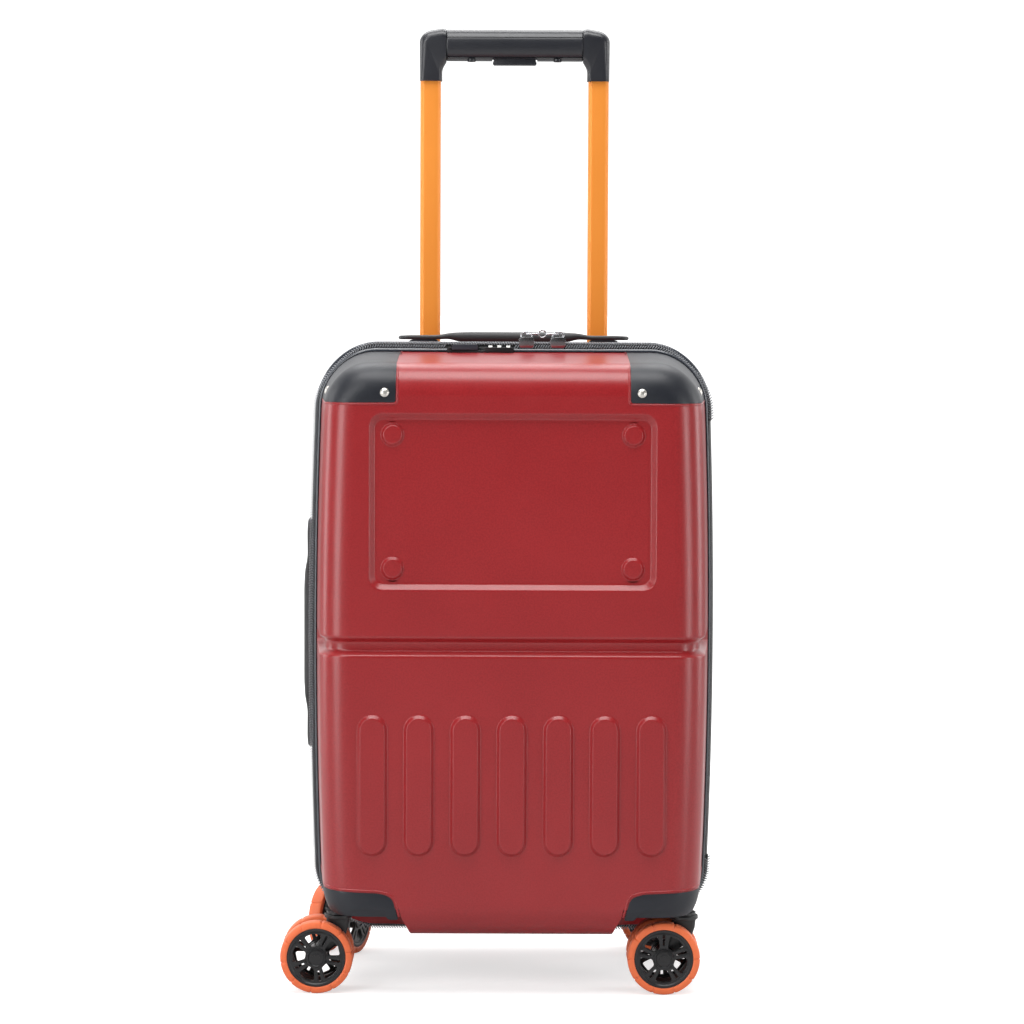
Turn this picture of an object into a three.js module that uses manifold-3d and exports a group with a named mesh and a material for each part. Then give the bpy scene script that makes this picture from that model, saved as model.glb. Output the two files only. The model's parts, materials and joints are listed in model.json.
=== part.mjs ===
// Hard-shell cabin case on four twin-disc casters, with a pull-out trolley handle.
// Millimetres, +Z up. The front faces -Y and the zip closes in the plane Y = ZIP_Y.
import * as THREE from "three";
import { mergeVertices } from "three/addons/utils/BufferGeometryUtils.js";
import Module from "manifold-3d";

const wasm = await Module();
wasm.setup();

// ---- driving dimensions -------------------------------------------------------------
const CENTRE_X = 9; // the case stands this far right of the middle of everything, casters included
const ZIP_Y = 0;

const HALF_WIDTH = 166; // lid rim at mid height
const BARREL = 0.036; // share of the half width lost at the top and bottom of the sides
const RIM_TOP = 528;
const RIM_BOTTOM = 42;
const CORNER_R = 46;
const WALL = 2.4;
const DEPTH = 113; // zip plane to the outer face of either shell
const FACE_FILLET = 20;
const DRAFT = Math.tan(THREE.MathUtils.degToRad(4.8));
const RIM_START = 4; // the shells stop this far from the zip plane
const BASE_GROW = 3; // the rear shell is this much wider all round than the lid
const BASE_TOP_EXTRA = 3;
const GAP = 0.3;

const BADGE = { halfW: 117, halfH: 72.7, z: 407, depth: 4, radius: 11, slope: 6 };
const BOSS = { x: 98, z: 54.5, rBase: 9.4, rTop: 7.4, height: 2.6 };
const GROOVE = { z: 286, mouth: 15, floor: 7, depth: 5.5, stop: 14 };
const RIB = { count: 7, pitch: 38, width: 24.8, top: 18.2, z0: 114, z1: 230, height: 3 };

const TOP_GUARD = { x: 95, z: 488.6, stop: 10.5 };
const LOW_GUARD = { x: 96, z0: 66.5, z1: 88, stop: 12 };
const GUARD = { skin: 1.2, seat: 1.5 }; // the guards lie flush in seats sunk into the shells

const CASTER = { x: 143.3, front: -80, rear: 85, trail: 17.3, wheelR: 30, discGap: 12.5 };
const POCKET = { r: 50.5, top: 70 };
const REAR_LEFT_TURN = 69; // degrees the rear left caster is swivelled at rest

const TROLLEY = { x: 73, y: 90, top: 806, socket: 761, tubeTop: 788 };
const STAGE = {
  upper: { w: 17.8, d: 11.8, r: 4, z0: 400, z1: 788 },
  middle: { w: 20.6, d: 14.6, r: 5, z0: 110, z1: 500 },
  outer: { w: 23.4, d: 17.4, r: 6, z0: 64, z1: 500 },
};
const TUBE_WALL = 1.1;
const WELL = { halfW: 86.5, y0: 76, y1: 106, floor: 503.5, floorTop: 506.5, lip: 530.4 };

const STRAP = { y: 35, width: 20, topSeat: 532.4, sideSeat: 167.4, sideZ: 285 };
const LOCK = { x0: -56, x1: 0, y0: -13.5, y1: -4.3, z0: 519, z1: 532.3 };
const DIAL_X = [-19.5, -12, -4.5];
const SLIDER_X = [11, 37.5];

// ---- solids -------------------------------------------------------------------------
const rad = THREE.MathUtils.degToRad;

function solidOf(geometry) {
  const g = geometry.index ? geometry.clone() : geometry;
  g.deleteAttribute("normal");
  g.deleteAttribute("uv");
  const m = mergeVertices(g, 1e-4);
  return new wasm.Manifold(
    new wasm.Mesh({
      numProp: 3,
      vertProperties: new Float32Array(m.attributes.position.array),
      triVerts: new Uint32Array(m.index.array),
    }),
  );
}

function geometryOf(solid) {
  const mesh = solid.getMesh();
  const g = new THREE.BufferGeometry();
  const xyz = new Float32Array((mesh.vertProperties.length / mesh.numProp) * 3);
  for (let i = 0; i < xyz.length / 3; i++) {
    for (let k = 0; k < 3; k++) xyz[3 * i + k] = mesh.vertProperties[mesh.numProp * i + k];
  }
  g.setAttribute("position", new THREE.BufferAttribute(xyz, 3));
  g.setIndex(Array.from(mesh.triVerts));
  return g;
}

// A closed body through equal-length loops of points, capped at both ends.
function loft(loops) {
  const n = loops[0].length;
  const xyz = loops.flat(2);
  const tri = [];
  for (let s = 0; s + 1 < loops.length; s++) {
    for (let i = 0; i < n; i++) {
      const a = s * n + i;
      const b = s * n + ((i + 1) % n);
      tri.push(a, b, b + n, a, b + n, a + n);
    }
  }
  const last = (loops.length - 1) * n;
  for (let i = 1; i + 1 < n; i++) tri.push(0, i + 1, i, last, last + i, last + i + 1);
  const at = (k) => new THREE.Vector3(xyz[3 * k], xyz[3 * k + 1], xyz[3 * k + 2]);
  let volume = 0;
  for (let t = 0; t < tri.length; t += 3) {
    volume += at(tri[t]).dot(at(tri[t + 1]).cross(at(tri[t + 2])));
  }
  if (volume < 0) tri.reverse();
  return new wasm.Manifold(
    new wasm.Mesh({
      numProp: 3,
      vertProperties: new Float32Array(xyz),
      triVerts: new Uint32Array(tri),
    }),
  );
}

function box(x0, x1, y0, y1, z0, z1) {
  const g = new THREE.BoxGeometry(x1 - x0, y1 - y0, z1 - z0);
  return solidOf(g.translate((x0 + x1) / 2, (y0 + y1) / 2, (z0 + z1) / 2));
}

// Solid cylinder or cone frustum along an axis, from `from` (radius r0) to `to` (radius r1).
function rod(axis, from, to, r0, r1, [u, v], steps = 20) {
  const g = new THREE.CylinderGeometry(r1, r0, to - from, steps);
  const mid = (from + to) / 2;
  if (axis === "y") return solidOf(g.translate(u, mid, v));
  if (axis === "z") return solidOf(g.rotateX(Math.PI / 2).translate(u, v, mid));
  return solidOf(g.rotateZ(-Math.PI / 2).translate(mid, u, v));
}

function roundedRect(halfW, halfH, r, steps = 4, cx = 0, cy = 0) {
  const points = [];
  for (const [sx, sy, start] of [[1, -1, -90], [1, 1, 0], [-1, 1, 90], [-1, -1, 180]]) {
    for (let i = 0; i <= steps; i++) {
      const a = rad(start + (90 * i) / steps);
      points.push([
        cx + sx * (halfW - r) + r * Math.cos(a),
        cy + sy * (halfH - r) + r * Math.sin(a),
      ]);
    }
  }
  return points;
}

// ---- the outline of the case --------------------------------------------------------
// Rounded rectangle with bowed sides, as [x, z] points, `grow` wider all round than the lid rim.
function outline(grow, topExtra = 0) {
  const halfW = HALF_WIDTH + grow;
  const mid = (RIM_TOP + topExtra + RIM_BOTTOM) / 2;
  const halfH = (RIM_TOP + topExtra - RIM_BOTTOM) / 2 + grow;
  const r = CORNER_R + grow;
  const points = [];
  const corner = roundedRect(halfW, halfH, r, 5, 0, mid);
  corner.forEach(([x, z], i) => {
    points.push([x, z]);
    if (i === 5 || i === 17) {
      const next = corner[i + 1];
      for (let k = 1; k < 6; k++) points.push([x, z + ((next[1] - z) * k) / 6]);
    }
  });
  return points.map(([x, z]) => [x * (1 - BARREL * ((z - mid) / halfH) ** 2), z]);
}

// Depth profile of a half shell: how far each section stands from the zip plane and its grow.
function profile(rimGrow, inset, start = RIM_START) {
  const straight = DEPTH - FACE_FILLET;
  const steps = [{ y: start, grow: rimGrow - (start - RIM_START) * DRAFT - inset }];
  const grow = rimGrow - (straight - RIM_START) * DRAFT;
  steps.push({ y: straight, grow: grow - inset });
  const r = FACE_FILLET - inset;
  for (let k = 1; k <= 4; k++) {
    const a = (Math.PI / 8) * k;
    steps.push({ y: straight + r * Math.sin(a), grow: grow - inset - r * (1 - Math.cos(a)) });
  }
  return steps;
}

const HALVES = {
  lid: { side: -1, grow: 0, top: 0 },
  base: { side: 1, grow: BASE_GROW, top: BASE_TOP_EXTRA },
};

function half({ side, grow, top }, inset, start = RIM_START) {
  const sections = profile(grow, inset, start);
  return loft(sections.map((s) => outline(s.grow, top).map(([x, z]) => [x, ZIP_Y + side * s.y, z])));
}

function ring(y0, y1, outer, inner) {
  const at = (y, [grow, top]) => outline(grow, top).map(([x, z]) => [x, y, z]);
  return loft([at(y0, outer), at(y1, outer)]).subtract(
    loft([at(y0 - 1, inner), at(y1 + 1, inner)]),
  );
}

// Bar with sloping sides that follows the lid round from rim to rim, used for the groove.
function grooveBar(inset, widen) {
  const sides = profile(0, 0, GROOVE.stop - widen).map(({ y, grow }) => [HALF_WIDTH + grow, ZIP_Y - y]);
  const path = [...sides.map(([x, y]) => [-x, y]), ...sides.reverse()];
  const loops = path.map(([x, y], i) => {
    const [ax, ay] = path[Math.max(i - 1, 0)];
    const [bx, by] = path[Math.min(i + 1, path.length - 1)];
    const length = Math.hypot(bx - ax, by - ay);
    const [nx, ny] = [(by - ay) / length, -(bx - ax) / length];
    const corner = (out, dz) => [x + nx * out, y + ny * out, GROOVE.z + dz];
    const mouth = GROOVE.mouth / 2 + widen + 1;
    const floor = GROOVE.floor / 2 + widen;
    return [corner(1.5, mouth), corner(1.5, -mouth), corner(-inset, -floor), corner(-inset, floor)];
  });
  return loft(loops);
}

// ---- nodes --------------------------------------------------------------------------
const group = new THREE.Group();
group.name = "cabin_case";

const MATERIALS = Object.fromEntries(
  Object.entries({
    shell: [0x9c2c30, 0.42, 0],
    blackPlastic: [0x1b1c1f, 0.5, 0],
    trim: [0x2c3138, 0.35, 0],
    tape: [0x141416, 0.9, 0],
    tyre: [0xe4703e, 0.6, 0],
    tube: [0xe8923a, 0.38, 0.5],
    innerTube: [0xa9adb2, 0.35, 0.9],
    metal: [0xc9ccd0, 0.22, 1],
    soft: [0x17181a, 0.7, 0],
    dial: [0xe6e4de, 0.5, 0],
  }).map(([key, [color, roughness, metalness]]) => [key, { color, roughness, metalness }]),
);

function piece(name, solid, material) {
  const g = geometryOf(solid).translate(CENTRE_X, 0, 0);
  g.computeVertexNormals();
  const mesh = new THREE.Mesh(g, new THREE.MeshStandardMaterial(MATERIALS[material]));
  mesh.name = name;
  group.add(mesh);
}

// ---- shells -------------------------------------------------------------------------
const swivels = {
  front_left: [-CASTER.x, CASTER.front, 0],
  front_right: [CASTER.x, CASTER.front, 0],
  rear_left: [-CASTER.x, CASTER.rear, REAR_LEFT_TURN],
  rear_right: [CASTER.x, CASTER.rear, 0],
};

function pockets(grow) {
  return Object.values(swivels)
    .map(([x, y]) => rod("z", -5, POCKET.top + grow, POCKET.r + grow, POCKET.r + grow, [x, y], 36))
    .reduce((a, b) => a.add(b));
}

function badgeRecess() {
  const face = ZIP_Y - DEPTH;
  const rim = roundedRect(BADGE.halfW, BADGE.halfH, BADGE.radius, 4, 0, BADGE.z);
  const floor = roundedRect(
    BADGE.halfW - BADGE.slope, BADGE.halfH - BADGE.slope, BADGE.radius - BADGE.slope + 1, 4, 0, BADGE.z,
  );
  return loft([
    rim.map(([x, z]) => [x, face - 1, z]),
    rim.map(([x, z]) => [x, face, z]),
    floor.map(([x, z]) => [x, face + BADGE.depth, z]),
  ]);
}

function bosses() {
  const floor = ZIP_Y - DEPTH + BADGE.depth;
  const all = [];
  for (const sx of [-1, 1]) {
    for (const sz of [-1, 1]) {
      const at = [sx * BOSS.x, BADGE.z + sz * BOSS.z];
      all.push(rod("y", floor - BOSS.height, floor + 1, BOSS.rTop, BOSS.rBase, at, 16));
    }
  }
  return all.reduce((a, b) => a.add(b));
}

function ribs() {
  const face = ZIP_Y - DEPTH;
  const all = [];
  const [halfH, z] = [(RIB.z1 - RIB.z0) / 2, (RIB.z0 + RIB.z1) / 2];
  const slope = (RIB.width - RIB.top) / 2;
  for (let i = 0; i < RIB.count; i++) {
    const x = (i - (RIB.count - 1) / 2) * RIB.pitch;
    const foot = roundedRect(RIB.width / 2, halfH, RIB.width / 2 - 0.01, 4, x, z);
    const crest = roundedRect(RIB.top / 2, halfH - slope, RIB.top / 2 - 0.01, 4, x, z);
    all.push(loft([
      foot.map(([px, pz]) => [px, face + 1, pz]),
      foot.map(([px, pz]) => [px, face, pz]),
      crest.map(([px, pz]) => [px, face - RIB.height, pz]),
    ]));
  }
  return all.reduce((a, b) => a.add(b));
}

// The boxes that the four guards of one shell fill, or their seats when grown.
function guardZones({ side }, margin) {
  const depth = (stop) => (side < 0 ? [-130, -stop + margin] : [stop - margin, 130]);
  return [-1, 1].flatMap((hand) => {
    const span = (x) => (hand < 0 ? [-200, margin - x] : [x - margin, 200]);
    return [
      { hand, top: true, zone: box(...span(TOP_GUARD.x), ...depth(TOP_GUARD.stop), TOP_GUARD.z - margin, 600) },
      { hand, top: false, zone: box(...span(LOW_GUARD.x), ...depth(LOW_GUARD.stop),
        LOW_GUARD.z0 - margin, LOW_GUARD.z1 + margin) },
    ];
  });
}

function seats(shell, margin, inset) {
  const zones = guardZones(shell, margin).map(({ zone }) => zone).reduce((a, b) => a.add(b));
  return zones.subtract(half(shell, inset, RIM_START - 2));
}

function shellBody(shell) {
  return half(shell, 0).subtract(seats(shell, GAP, GUARD.seat)).subtract(pockets(0));
}

function cavity(shell) {
  return half(shell, WALL, RIM_START - 2)
    .subtract(seats(shell, GAP + WALL, GUARD.seat + WALL))
    .subtract(pockets(WALL));
}

const lockCut = box(
  LOCK.x0 - GAP, LOCK.x1 + GAP, LOCK.y0 - GAP, LOCK.y1 + 2, LOCK.z0 - 2, LOCK.z1 + 10,
);
const badgeBack = box(
  -BADGE.halfW - 3, BADGE.halfW + 3, ZIP_Y - DEPTH - 1, ZIP_Y - DEPTH + BADGE.depth + WALL,
  BADGE.z - BADGE.halfH - 3, BADGE.z + BADGE.halfH + 3,
);
piece(
  "lid_shell",
  shellBody(HALVES.lid)
    .subtract(badgeRecess())
    .add(bosses())
    .add(ribs())
    .subtract(grooveBar(GROOVE.depth, 0))
    .subtract(cavity(HALVES.lid).subtract(badgeBack).subtract(grooveBar(GROOVE.depth + WALL, WALL)))
    .subtract(lockCut),
  "shell",
);

const bezelCut = box(-WELL.halfW - 2.3, WELL.halfW + 2.3, WELL.y0 - GAP, WELL.y1 + GAP, 500, 545);
piece("base_shell", shellBody(HALVES.base).subtract(cavity(HALVES.base)).subtract(bezelCut), "shell");

// ---- rim: edge trims, zip tapes on three sides, textile hinge on the right ----------
const hingeZone = (grow) => box(100, 190, -20, 20, 100 - grow, 470 + grow);
const [lidZip, baseZip] = [
  ring(-3.7, -0.25, [4.5, 3], [-2, 0]),
  ring(0.25, 3.7, [6, 4], [-1, 1]),
];
piece("lid_trim", ring(-9.5, -4, [2.6, 1.4], [0.35, 0]).subtract(lockCut), "trim");
piece("base_trim", ring(4, 9.5, [5.6, 4.4], [3.35, 3]), "trim");
piece("lid_zip_tape", lidZip.subtract(hingeZone(GAP)), "tape");
piece("base_zip_tape", baseZip.subtract(hingeZone(GAP)), "tape");
piece("lid_hinge_tape", ring(-3.7, -0.25, [4, 3], [-2, 0]).intersect(hingeZone(0)), "tape");
piece("base_hinge_tape", ring(0.25, 3.7, [5.6, 4], [-1, 1]).intersect(hingeZone(0)), "tape");

// ---- corner guards ------------------------------------------------------------------
for (const [end, shell] of [["front", HALVES.lid], ["rear", HALVES.base]]) {
  const outer = half(shell, 0);
  const skin = outer.subtract(half(shell, GUARD.skin, RIM_START - 2));
  for (const { hand, top, zone } of guardZones(shell, 0)) {
    const side = hand < 0 ? "left" : "right";
    const cap = skin.intersect(zone);
    if (top) {
      piece(`guard_top_${end}_${side}`, cap, "blackPlastic");
      continue;
    }
    const [x, y] = swivels[`${end}_${side}`];
    const r = POCKET.r - 0.5;
    const plate = rod("z", LOW_GUARD.z0, POCKET.top - 0.5, r, r, [x, y], 36)
      .intersect(outer)
      .add(rod("z", LOW_GUARD.z0 - 2, LOW_GUARD.z0 + 1, 12, 12, [x, y], 20));
    piece(`caster_housing_${end}_${side}`, cap.add(plate), "blackPlastic");
  }
}

// ---- casters ------------------------------------------------------------------------
function lathed(points, steps) {
  const loop = [...points, points[0]].map(([r, y]) => new THREE.Vector2(r, y));
  return solidOf(new THREE.LatheGeometry(loop, steps));
}

function fork() {
  const { trail, wheelR } = CASTER;
  const leg = loft([
    roundedRect(9.3, 6.4, 3, 3).map(([x, y]) => [x, y, 62]),
    roundedRect(9.3, 6.4, 3, 3).map(([x, y]) => [x, y, 38]),
    roundedRect(8, 6.4, 3, 3, -trail + 2).map(([x, y]) => [x, y, wheelR - 6]),
  ]);
  return leg
    .add(rod("z", 60.6, 64, 11.5, 11.5, [0, 0], 20))
    .add(rod("y", -6.4, 6.4, 8, 8, [-trail, wheelR], 16))
    .add(rod("y", -18.6, 18.6, 3, 3, [-trail, wheelR], 12));
}

const HUB = [[3.3, -5.5], [24.3, -5.5], [24.3, 5.5], [20.5, 5.5], [20.5, 2], [8, 2], [8, 5.8], [3.3, 5.8]];
const TYRE = [[24.6, -5.8], [28.6, -5.8], [30, -4], [30, 4], [28.6, 5.8], [24.6, 5.8]];

for (const [corner, [x, y, turn]] of Object.entries(swivels)) {
  const set = (solid) => solid.rotate([0, 0, turn]).translate([x, y, 0]);
  piece(`caster_${corner}_fork`, set(fork()), "blackPlastic");
  for (const [face, side] of [["a", -1], ["b", 1]]) {
    // the open face of each disc looks away from the fork
    const onAxle = (solid) =>
      set(
        solid
          .rotate([side < 0 ? 180 : 0, 0, 0])
          .translate([-CASTER.trail, side * CASTER.discGap, CASTER.wheelR]),
      );
    piece(`caster_${corner}_hub_${face}`, onAxle(lathed(HUB, 18)), "blackPlastic");
    piece(`caster_${corner}_tyre_${face}`, onAxle(lathed(TYRE, 18)), "tyre");
  }
}

// ---- trolley handle -----------------------------------------------------------------
function tube({ w, d, r, z0, z1 }, x) {
  const shape = new THREE.Shape(roundedRect(w / 2, d / 2, r, 3).map((p) => new THREE.Vector2(...p)));
  const inner = roundedRect(w / 2 - TUBE_WALL, d / 2 - TUBE_WALL, r - TUBE_WALL, 3);
  shape.holes.push(new THREE.Path(inner.map((p) => new THREE.Vector2(...p))));
  const g = new THREE.ExtrudeGeometry(shape, { depth: z1 - z0, bevelEnabled: false, curveSegments: 3 });
  return solidOf(g.translate(x, TROLLEY.y, z0));
}

// Solid bar along X with a rounded section in Y and Z.
function barX(x0, x1, halfD, halfH, r, y, z) {
  const section = roundedRect(halfD, halfH, r, 4, y, z);
  return loft([x0, x1].map((x) => section.map(([py, pz]) => [x, py, pz])));
}

const GRIP = { halfLength: 59.2, halfD: 11.5, halfH: 13.6, z: 792 };
for (const [hand, sx] of [["left", -1], ["right", 1]]) {
  for (const stage of ["upper", "middle", "outer"]) {
    piece(`trolley_tube_${stage}_${hand}`, tube(STAGE[stage], sx * TROLLEY.x),
      stage === "upper" ? "tube" : "innerTube");
  }
  const cx = sx * (TROLLEY.x + 0.4);
  const leg = roundedRect(10.3, 8.2, 4, 3, cx, TROLLEY.y);
  const throat = roundedRect(9.2, 6.2, 4.2, 3, sx * TROLLEY.x, TROLLEY.y);
  const head = barX(-12, 12, 12, 14, 9, TROLLEY.y, TROLLEY.top - 14).translate([sx * 71.7, 0, 0]);
  const shoulder = loft([
    leg.map(([x, y]) => [x, y, TROLLEY.socket]),
    leg.map(([x, y]) => [x, y, TROLLEY.top - 20]),
  ]);
  const socket = loft([
    throat.map(([x, y]) => [x, y, TROLLEY.socket - 1]),
    throat.map(([x, y]) => [x, y, TROLLEY.tubeTop + 0.4]),
  ]);
  piece(`trolley_elbow_${hand}`, shoulder.add(head).subtract(socket), "blackPlastic");
}
const buttonPocket = box(-19.4, 19.4, TROLLEY.y - 6.4, TROLLEY.y + 6.4, 700, 791);
piece(
  "trolley_grip",
  barX(-GRIP.halfLength, GRIP.halfLength, GRIP.halfD, GRIP.halfH, 9, TROLLEY.y, GRIP.z)
    .subtract(buttonPocket),
  "soft",
);
piece("trolley_button", box(-19, 19, TROLLEY.y - 6, TROLLEY.y + 6, 774.5, 785.5), "blackPlastic");

const tray = box(-WELL.halfW - 2, WELL.halfW + 2, WELL.y0, WELL.y1, WELL.floor, WELL.lip - 1)
  .add(box(-WELL.halfW - 5, WELL.halfW + 5, WELL.y0 - 3, WELL.y1 + 2, 528.5, WELL.lip))
  .subtract(box(-WELL.halfW, WELL.halfW, WELL.y0 + 2, WELL.y1 - 2, WELL.floorTop, 560));
const tubeHoles = [-1, 1]
  .map((s) => box(s * TROLLEY.x - 11, s * TROLLEY.x + 11, TROLLEY.y - 8, TROLLEY.y + 8, 490, 520))
  .reduce((a, b) => a.add(b));
piece("trolley_bezel", tray.subtract(tubeHoles), "blackPlastic");

// ---- carry handles ------------------------------------------------------------------
// Both are the same part: length along u, standing off the seat along v, width along Y.
const STRAP_TOP = [[98.5, 8.2], [88, 8.8], [66, 8.6], [54, 10.8], [40, 11.6]];
const STRAP_UNDER = [[40, 2.2], [48, 2.6], [53, 6.2], [64, 6.3], [98.5, 6.3]];

function across(points, width) {
  const shape = new THREE.Shape(points.map((p) => new THREE.Vector2(...p)));
  const g = new THREE.ExtrudeGeometry(shape, { depth: width, bevelEnabled: false });
  return solidOf(g.rotateX(Math.PI / 2).translate(0, STRAP.y + width / 2, 0));
}

function strap() {
  const mirror = (points) => points.map(([u, v]) => [-u, v]).reverse();
  return across([...STRAP_UNDER, ...STRAP_TOP, ...mirror(STRAP_TOP), ...mirror(STRAP_UNDER)], STRAP.width);
}

function strapMount() {
  const half = STRAP.width / 2 - 2;
  const slab = (u0, u1, v1) => box(u0, u1, STRAP.y - half, STRAP.y + half, 0, v1);
  return slab(-90, 90, 1.2).add(slab(-90, -64.5, 5.8)).add(slab(64.5, 90, 5.8));
}

const onTop = (solid) => solid.translate([0, 0, STRAP.topSeat]);
const onSide = (solid) => solid.rotate([0, -90, 0]).translate([-STRAP.sideSeat, 0, STRAP.sideZ]);
piece("top_handle", onTop(strap()), "soft");
piece("top_handle_mount", onTop(strapMount()), "blackPlastic");
piece("side_handle", onSide(strap()), "soft");
piece("side_handle_mount", onSide(strapMount()), "blackPlastic");

// ---- combination lock ---------------------------------------------------------------
const DIAL = { r: 3.6, half: 1.6, y: -9.2, z: 529.6 };
const lockBody = DIAL_X.reduce(
  (body, x) => body.subtract(box(x - 2, x + 2, -20, DIAL.y + 4.2, 525.4, 540)),
  box(LOCK.x0, LOCK.x1, LOCK.y0, LOCK.y1, LOCK.z0, LOCK.z1)
    .subtract(box(-52.5, -24, -20, -6.6, 529.2, 540)),
);
piece("lock_body", lockBody, "metal");
piece("lock_slide", box(-52, -30, -14.2, -7, 529.6, 534.2), "blackPlastic");
DIAL_X.forEach((x, i) => {
  const dial = rod("x", x - DIAL.half, x + DIAL.half, DIAL.r, DIAL.r, [DIAL.y, DIAL.z], 20);
  piece(`lock_dial_${i + 1}`, dial, "dial");
});

// ---- zip sliders and their pulls ----------------------------------------------------
const SLIDER = { half: 5.8, halfD: 4.6, z0: 538.4, z1: 541.2, pin: 543 };
SLIDER_X.forEach((x, i) => {
  const name = i ? "right" : "left";
  const toRing = i ? -1 : 1;
  const ears = [-1, 1].map((s) => box(x - 1.6, x + 1.6, s * 3.2 - 0.7, s * 3.2 + 0.7, 541, 544.6));
  piece(
    `zip_slider_${name}`,
    box(x - SLIDER.half, x + SLIDER.half, -SLIDER.halfD, SLIDER.halfD, SLIDER.z0, SLIDER.z1)
      .add(ears[0])
      .add(ears[1]),
    "metal",
  );
  const ends = [x - toRing * 1.2, x + toRing * 11.5].sort((a, b) => a - b);
  const hole = [x + toRing * 4.5, x + toRing * 9.5].sort((a, b) => a - b);
  piece(
    `zip_pull_${name}`,
    box(...ends, -2.1, 2.1, SLIDER.pin - 0.8, SLIDER.pin + 0.8)
      .subtract(box(...hole, -1.1, 1.1, 530, 560)),
    "metal",
  );
});

export default group;
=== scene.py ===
# Hard-shell cabin case: the looks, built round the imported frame.
import json
import math
from contextlib import contextmanager

import bmesh
import bpy
import numpy as np
from mathutils import Matrix, Vector
from mathutils.bvhtree import BVHTree
from mathutils.geometry import tessellate_polygon


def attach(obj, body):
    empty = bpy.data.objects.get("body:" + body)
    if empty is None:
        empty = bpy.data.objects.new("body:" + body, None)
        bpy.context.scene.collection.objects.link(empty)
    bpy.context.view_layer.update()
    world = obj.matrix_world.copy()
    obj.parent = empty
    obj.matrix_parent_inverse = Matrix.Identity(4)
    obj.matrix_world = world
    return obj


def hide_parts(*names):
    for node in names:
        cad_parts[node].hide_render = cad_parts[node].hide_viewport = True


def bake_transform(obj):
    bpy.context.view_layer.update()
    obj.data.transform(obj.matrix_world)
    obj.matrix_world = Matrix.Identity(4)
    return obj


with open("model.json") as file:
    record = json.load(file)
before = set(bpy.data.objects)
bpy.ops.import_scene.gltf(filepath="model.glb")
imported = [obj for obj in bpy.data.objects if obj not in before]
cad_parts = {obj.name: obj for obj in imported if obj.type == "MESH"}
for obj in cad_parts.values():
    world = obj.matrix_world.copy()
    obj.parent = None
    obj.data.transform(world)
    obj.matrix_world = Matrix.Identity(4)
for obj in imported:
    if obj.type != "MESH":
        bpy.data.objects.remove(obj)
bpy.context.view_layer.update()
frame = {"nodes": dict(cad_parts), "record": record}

# ---- sizes, in millimetres, with the case's own middle at X = 0 ------------------------
MM = 0.001
CENTRE_X = 9.0
HALF_WIDTH, BARREL = 166.0, 0.036
RIM_TOP, RIM_BOTTOM, CORNER_R = 528.0, 42.0, 46.0
DEPTH, FACE_FILLET, RIM_START = 113.0, 26.5, 4.0
DRAFT = math.tan(math.radians(4.8))
WALL = 2.2
BADGE = dict(half_w=117.0, half_h=71.9, z=407.9, depth=4.0, radius=11.0, slope=4.6)
BOSS = dict(x=98.0, z=54.5, foot=9.4, crest=7.6, height=2.4)
GROOVE = dict(z=289.4, mouth=7.4, floor=3.6, depth=5.5, stop=14.0)
RIB = dict(count=7, pitch=38.0, half=12.4, slope=2.5, z0=117.4, z1=233.6, height=2.9)
SWIVEL_X, SWIVEL_FRONT, SWIVEL_REAR = 143.3, -80.0, 85.0
TRAIL, WHEEL_R, DISC_GAP = 17.3, 30.0, 12.5
POCKET_R, POCKET_TOP, POCKET_CORNER = 52.0, 74.0, 24.0
TROLLEY_X, TROLLEY_Y = 73.0, 90.0
STRAP_Y, TOP_SEAT, SIDE_SEAT, SIDE_Z = 35.0, 532.4, 167.4, 285.0

SIDE_LOW, SIDE_HIGH = 92.0, 478.0
GRIP_Z, GRIP_HALF_Y, GRIP_HALF_Z, GRIP_SQUARENESS = 792.0, 11.5, 13.6, 0.86
LOCK_OPENING = (-56.3, 0.3, -13.8, -2.0, 517.0, 545.0)
BEZEL_OPENING = (-88.6, 88.6, 75.8, 106.2, 500.0, 545.0)
HINGE_OPENING = (100.0, 190.0, -20.0, 20.0, 99.7, 470.3)

LID = dict(side=-1, grow=0.0, top=0.0)
BASE = dict(side=1, grow=3.0, top=3.0)
CORNERS = {
    "front_left": (-SWIVEL_X, SWIVEL_FRONT, 0.0),
    "front_right": (SWIVEL_X, SWIVEL_FRONT, 0.0),
    "rear_left": (-SWIVEL_X, SWIVEL_REAR, 69.0),
    "rear_right": (SWIVEL_X, SWIVEL_REAR, 0.0),
}


# ---- materials --------------------------------------------------------------------------
def add_node(tree, kind, inputs=(), **settings):
    """A node with its settings and inputs; an input given as a socket is linked."""
    made = tree.nodes.new(kind)
    for key, value in settings.items():
        setattr(made, key, value)
    for key, value in dict(inputs).items():
        if isinstance(value, bpy.types.NodeSocket):
            tree.links.new(value, made.inputs[key])
        else:
            made.inputs[key].default_value = value
    return made


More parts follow.
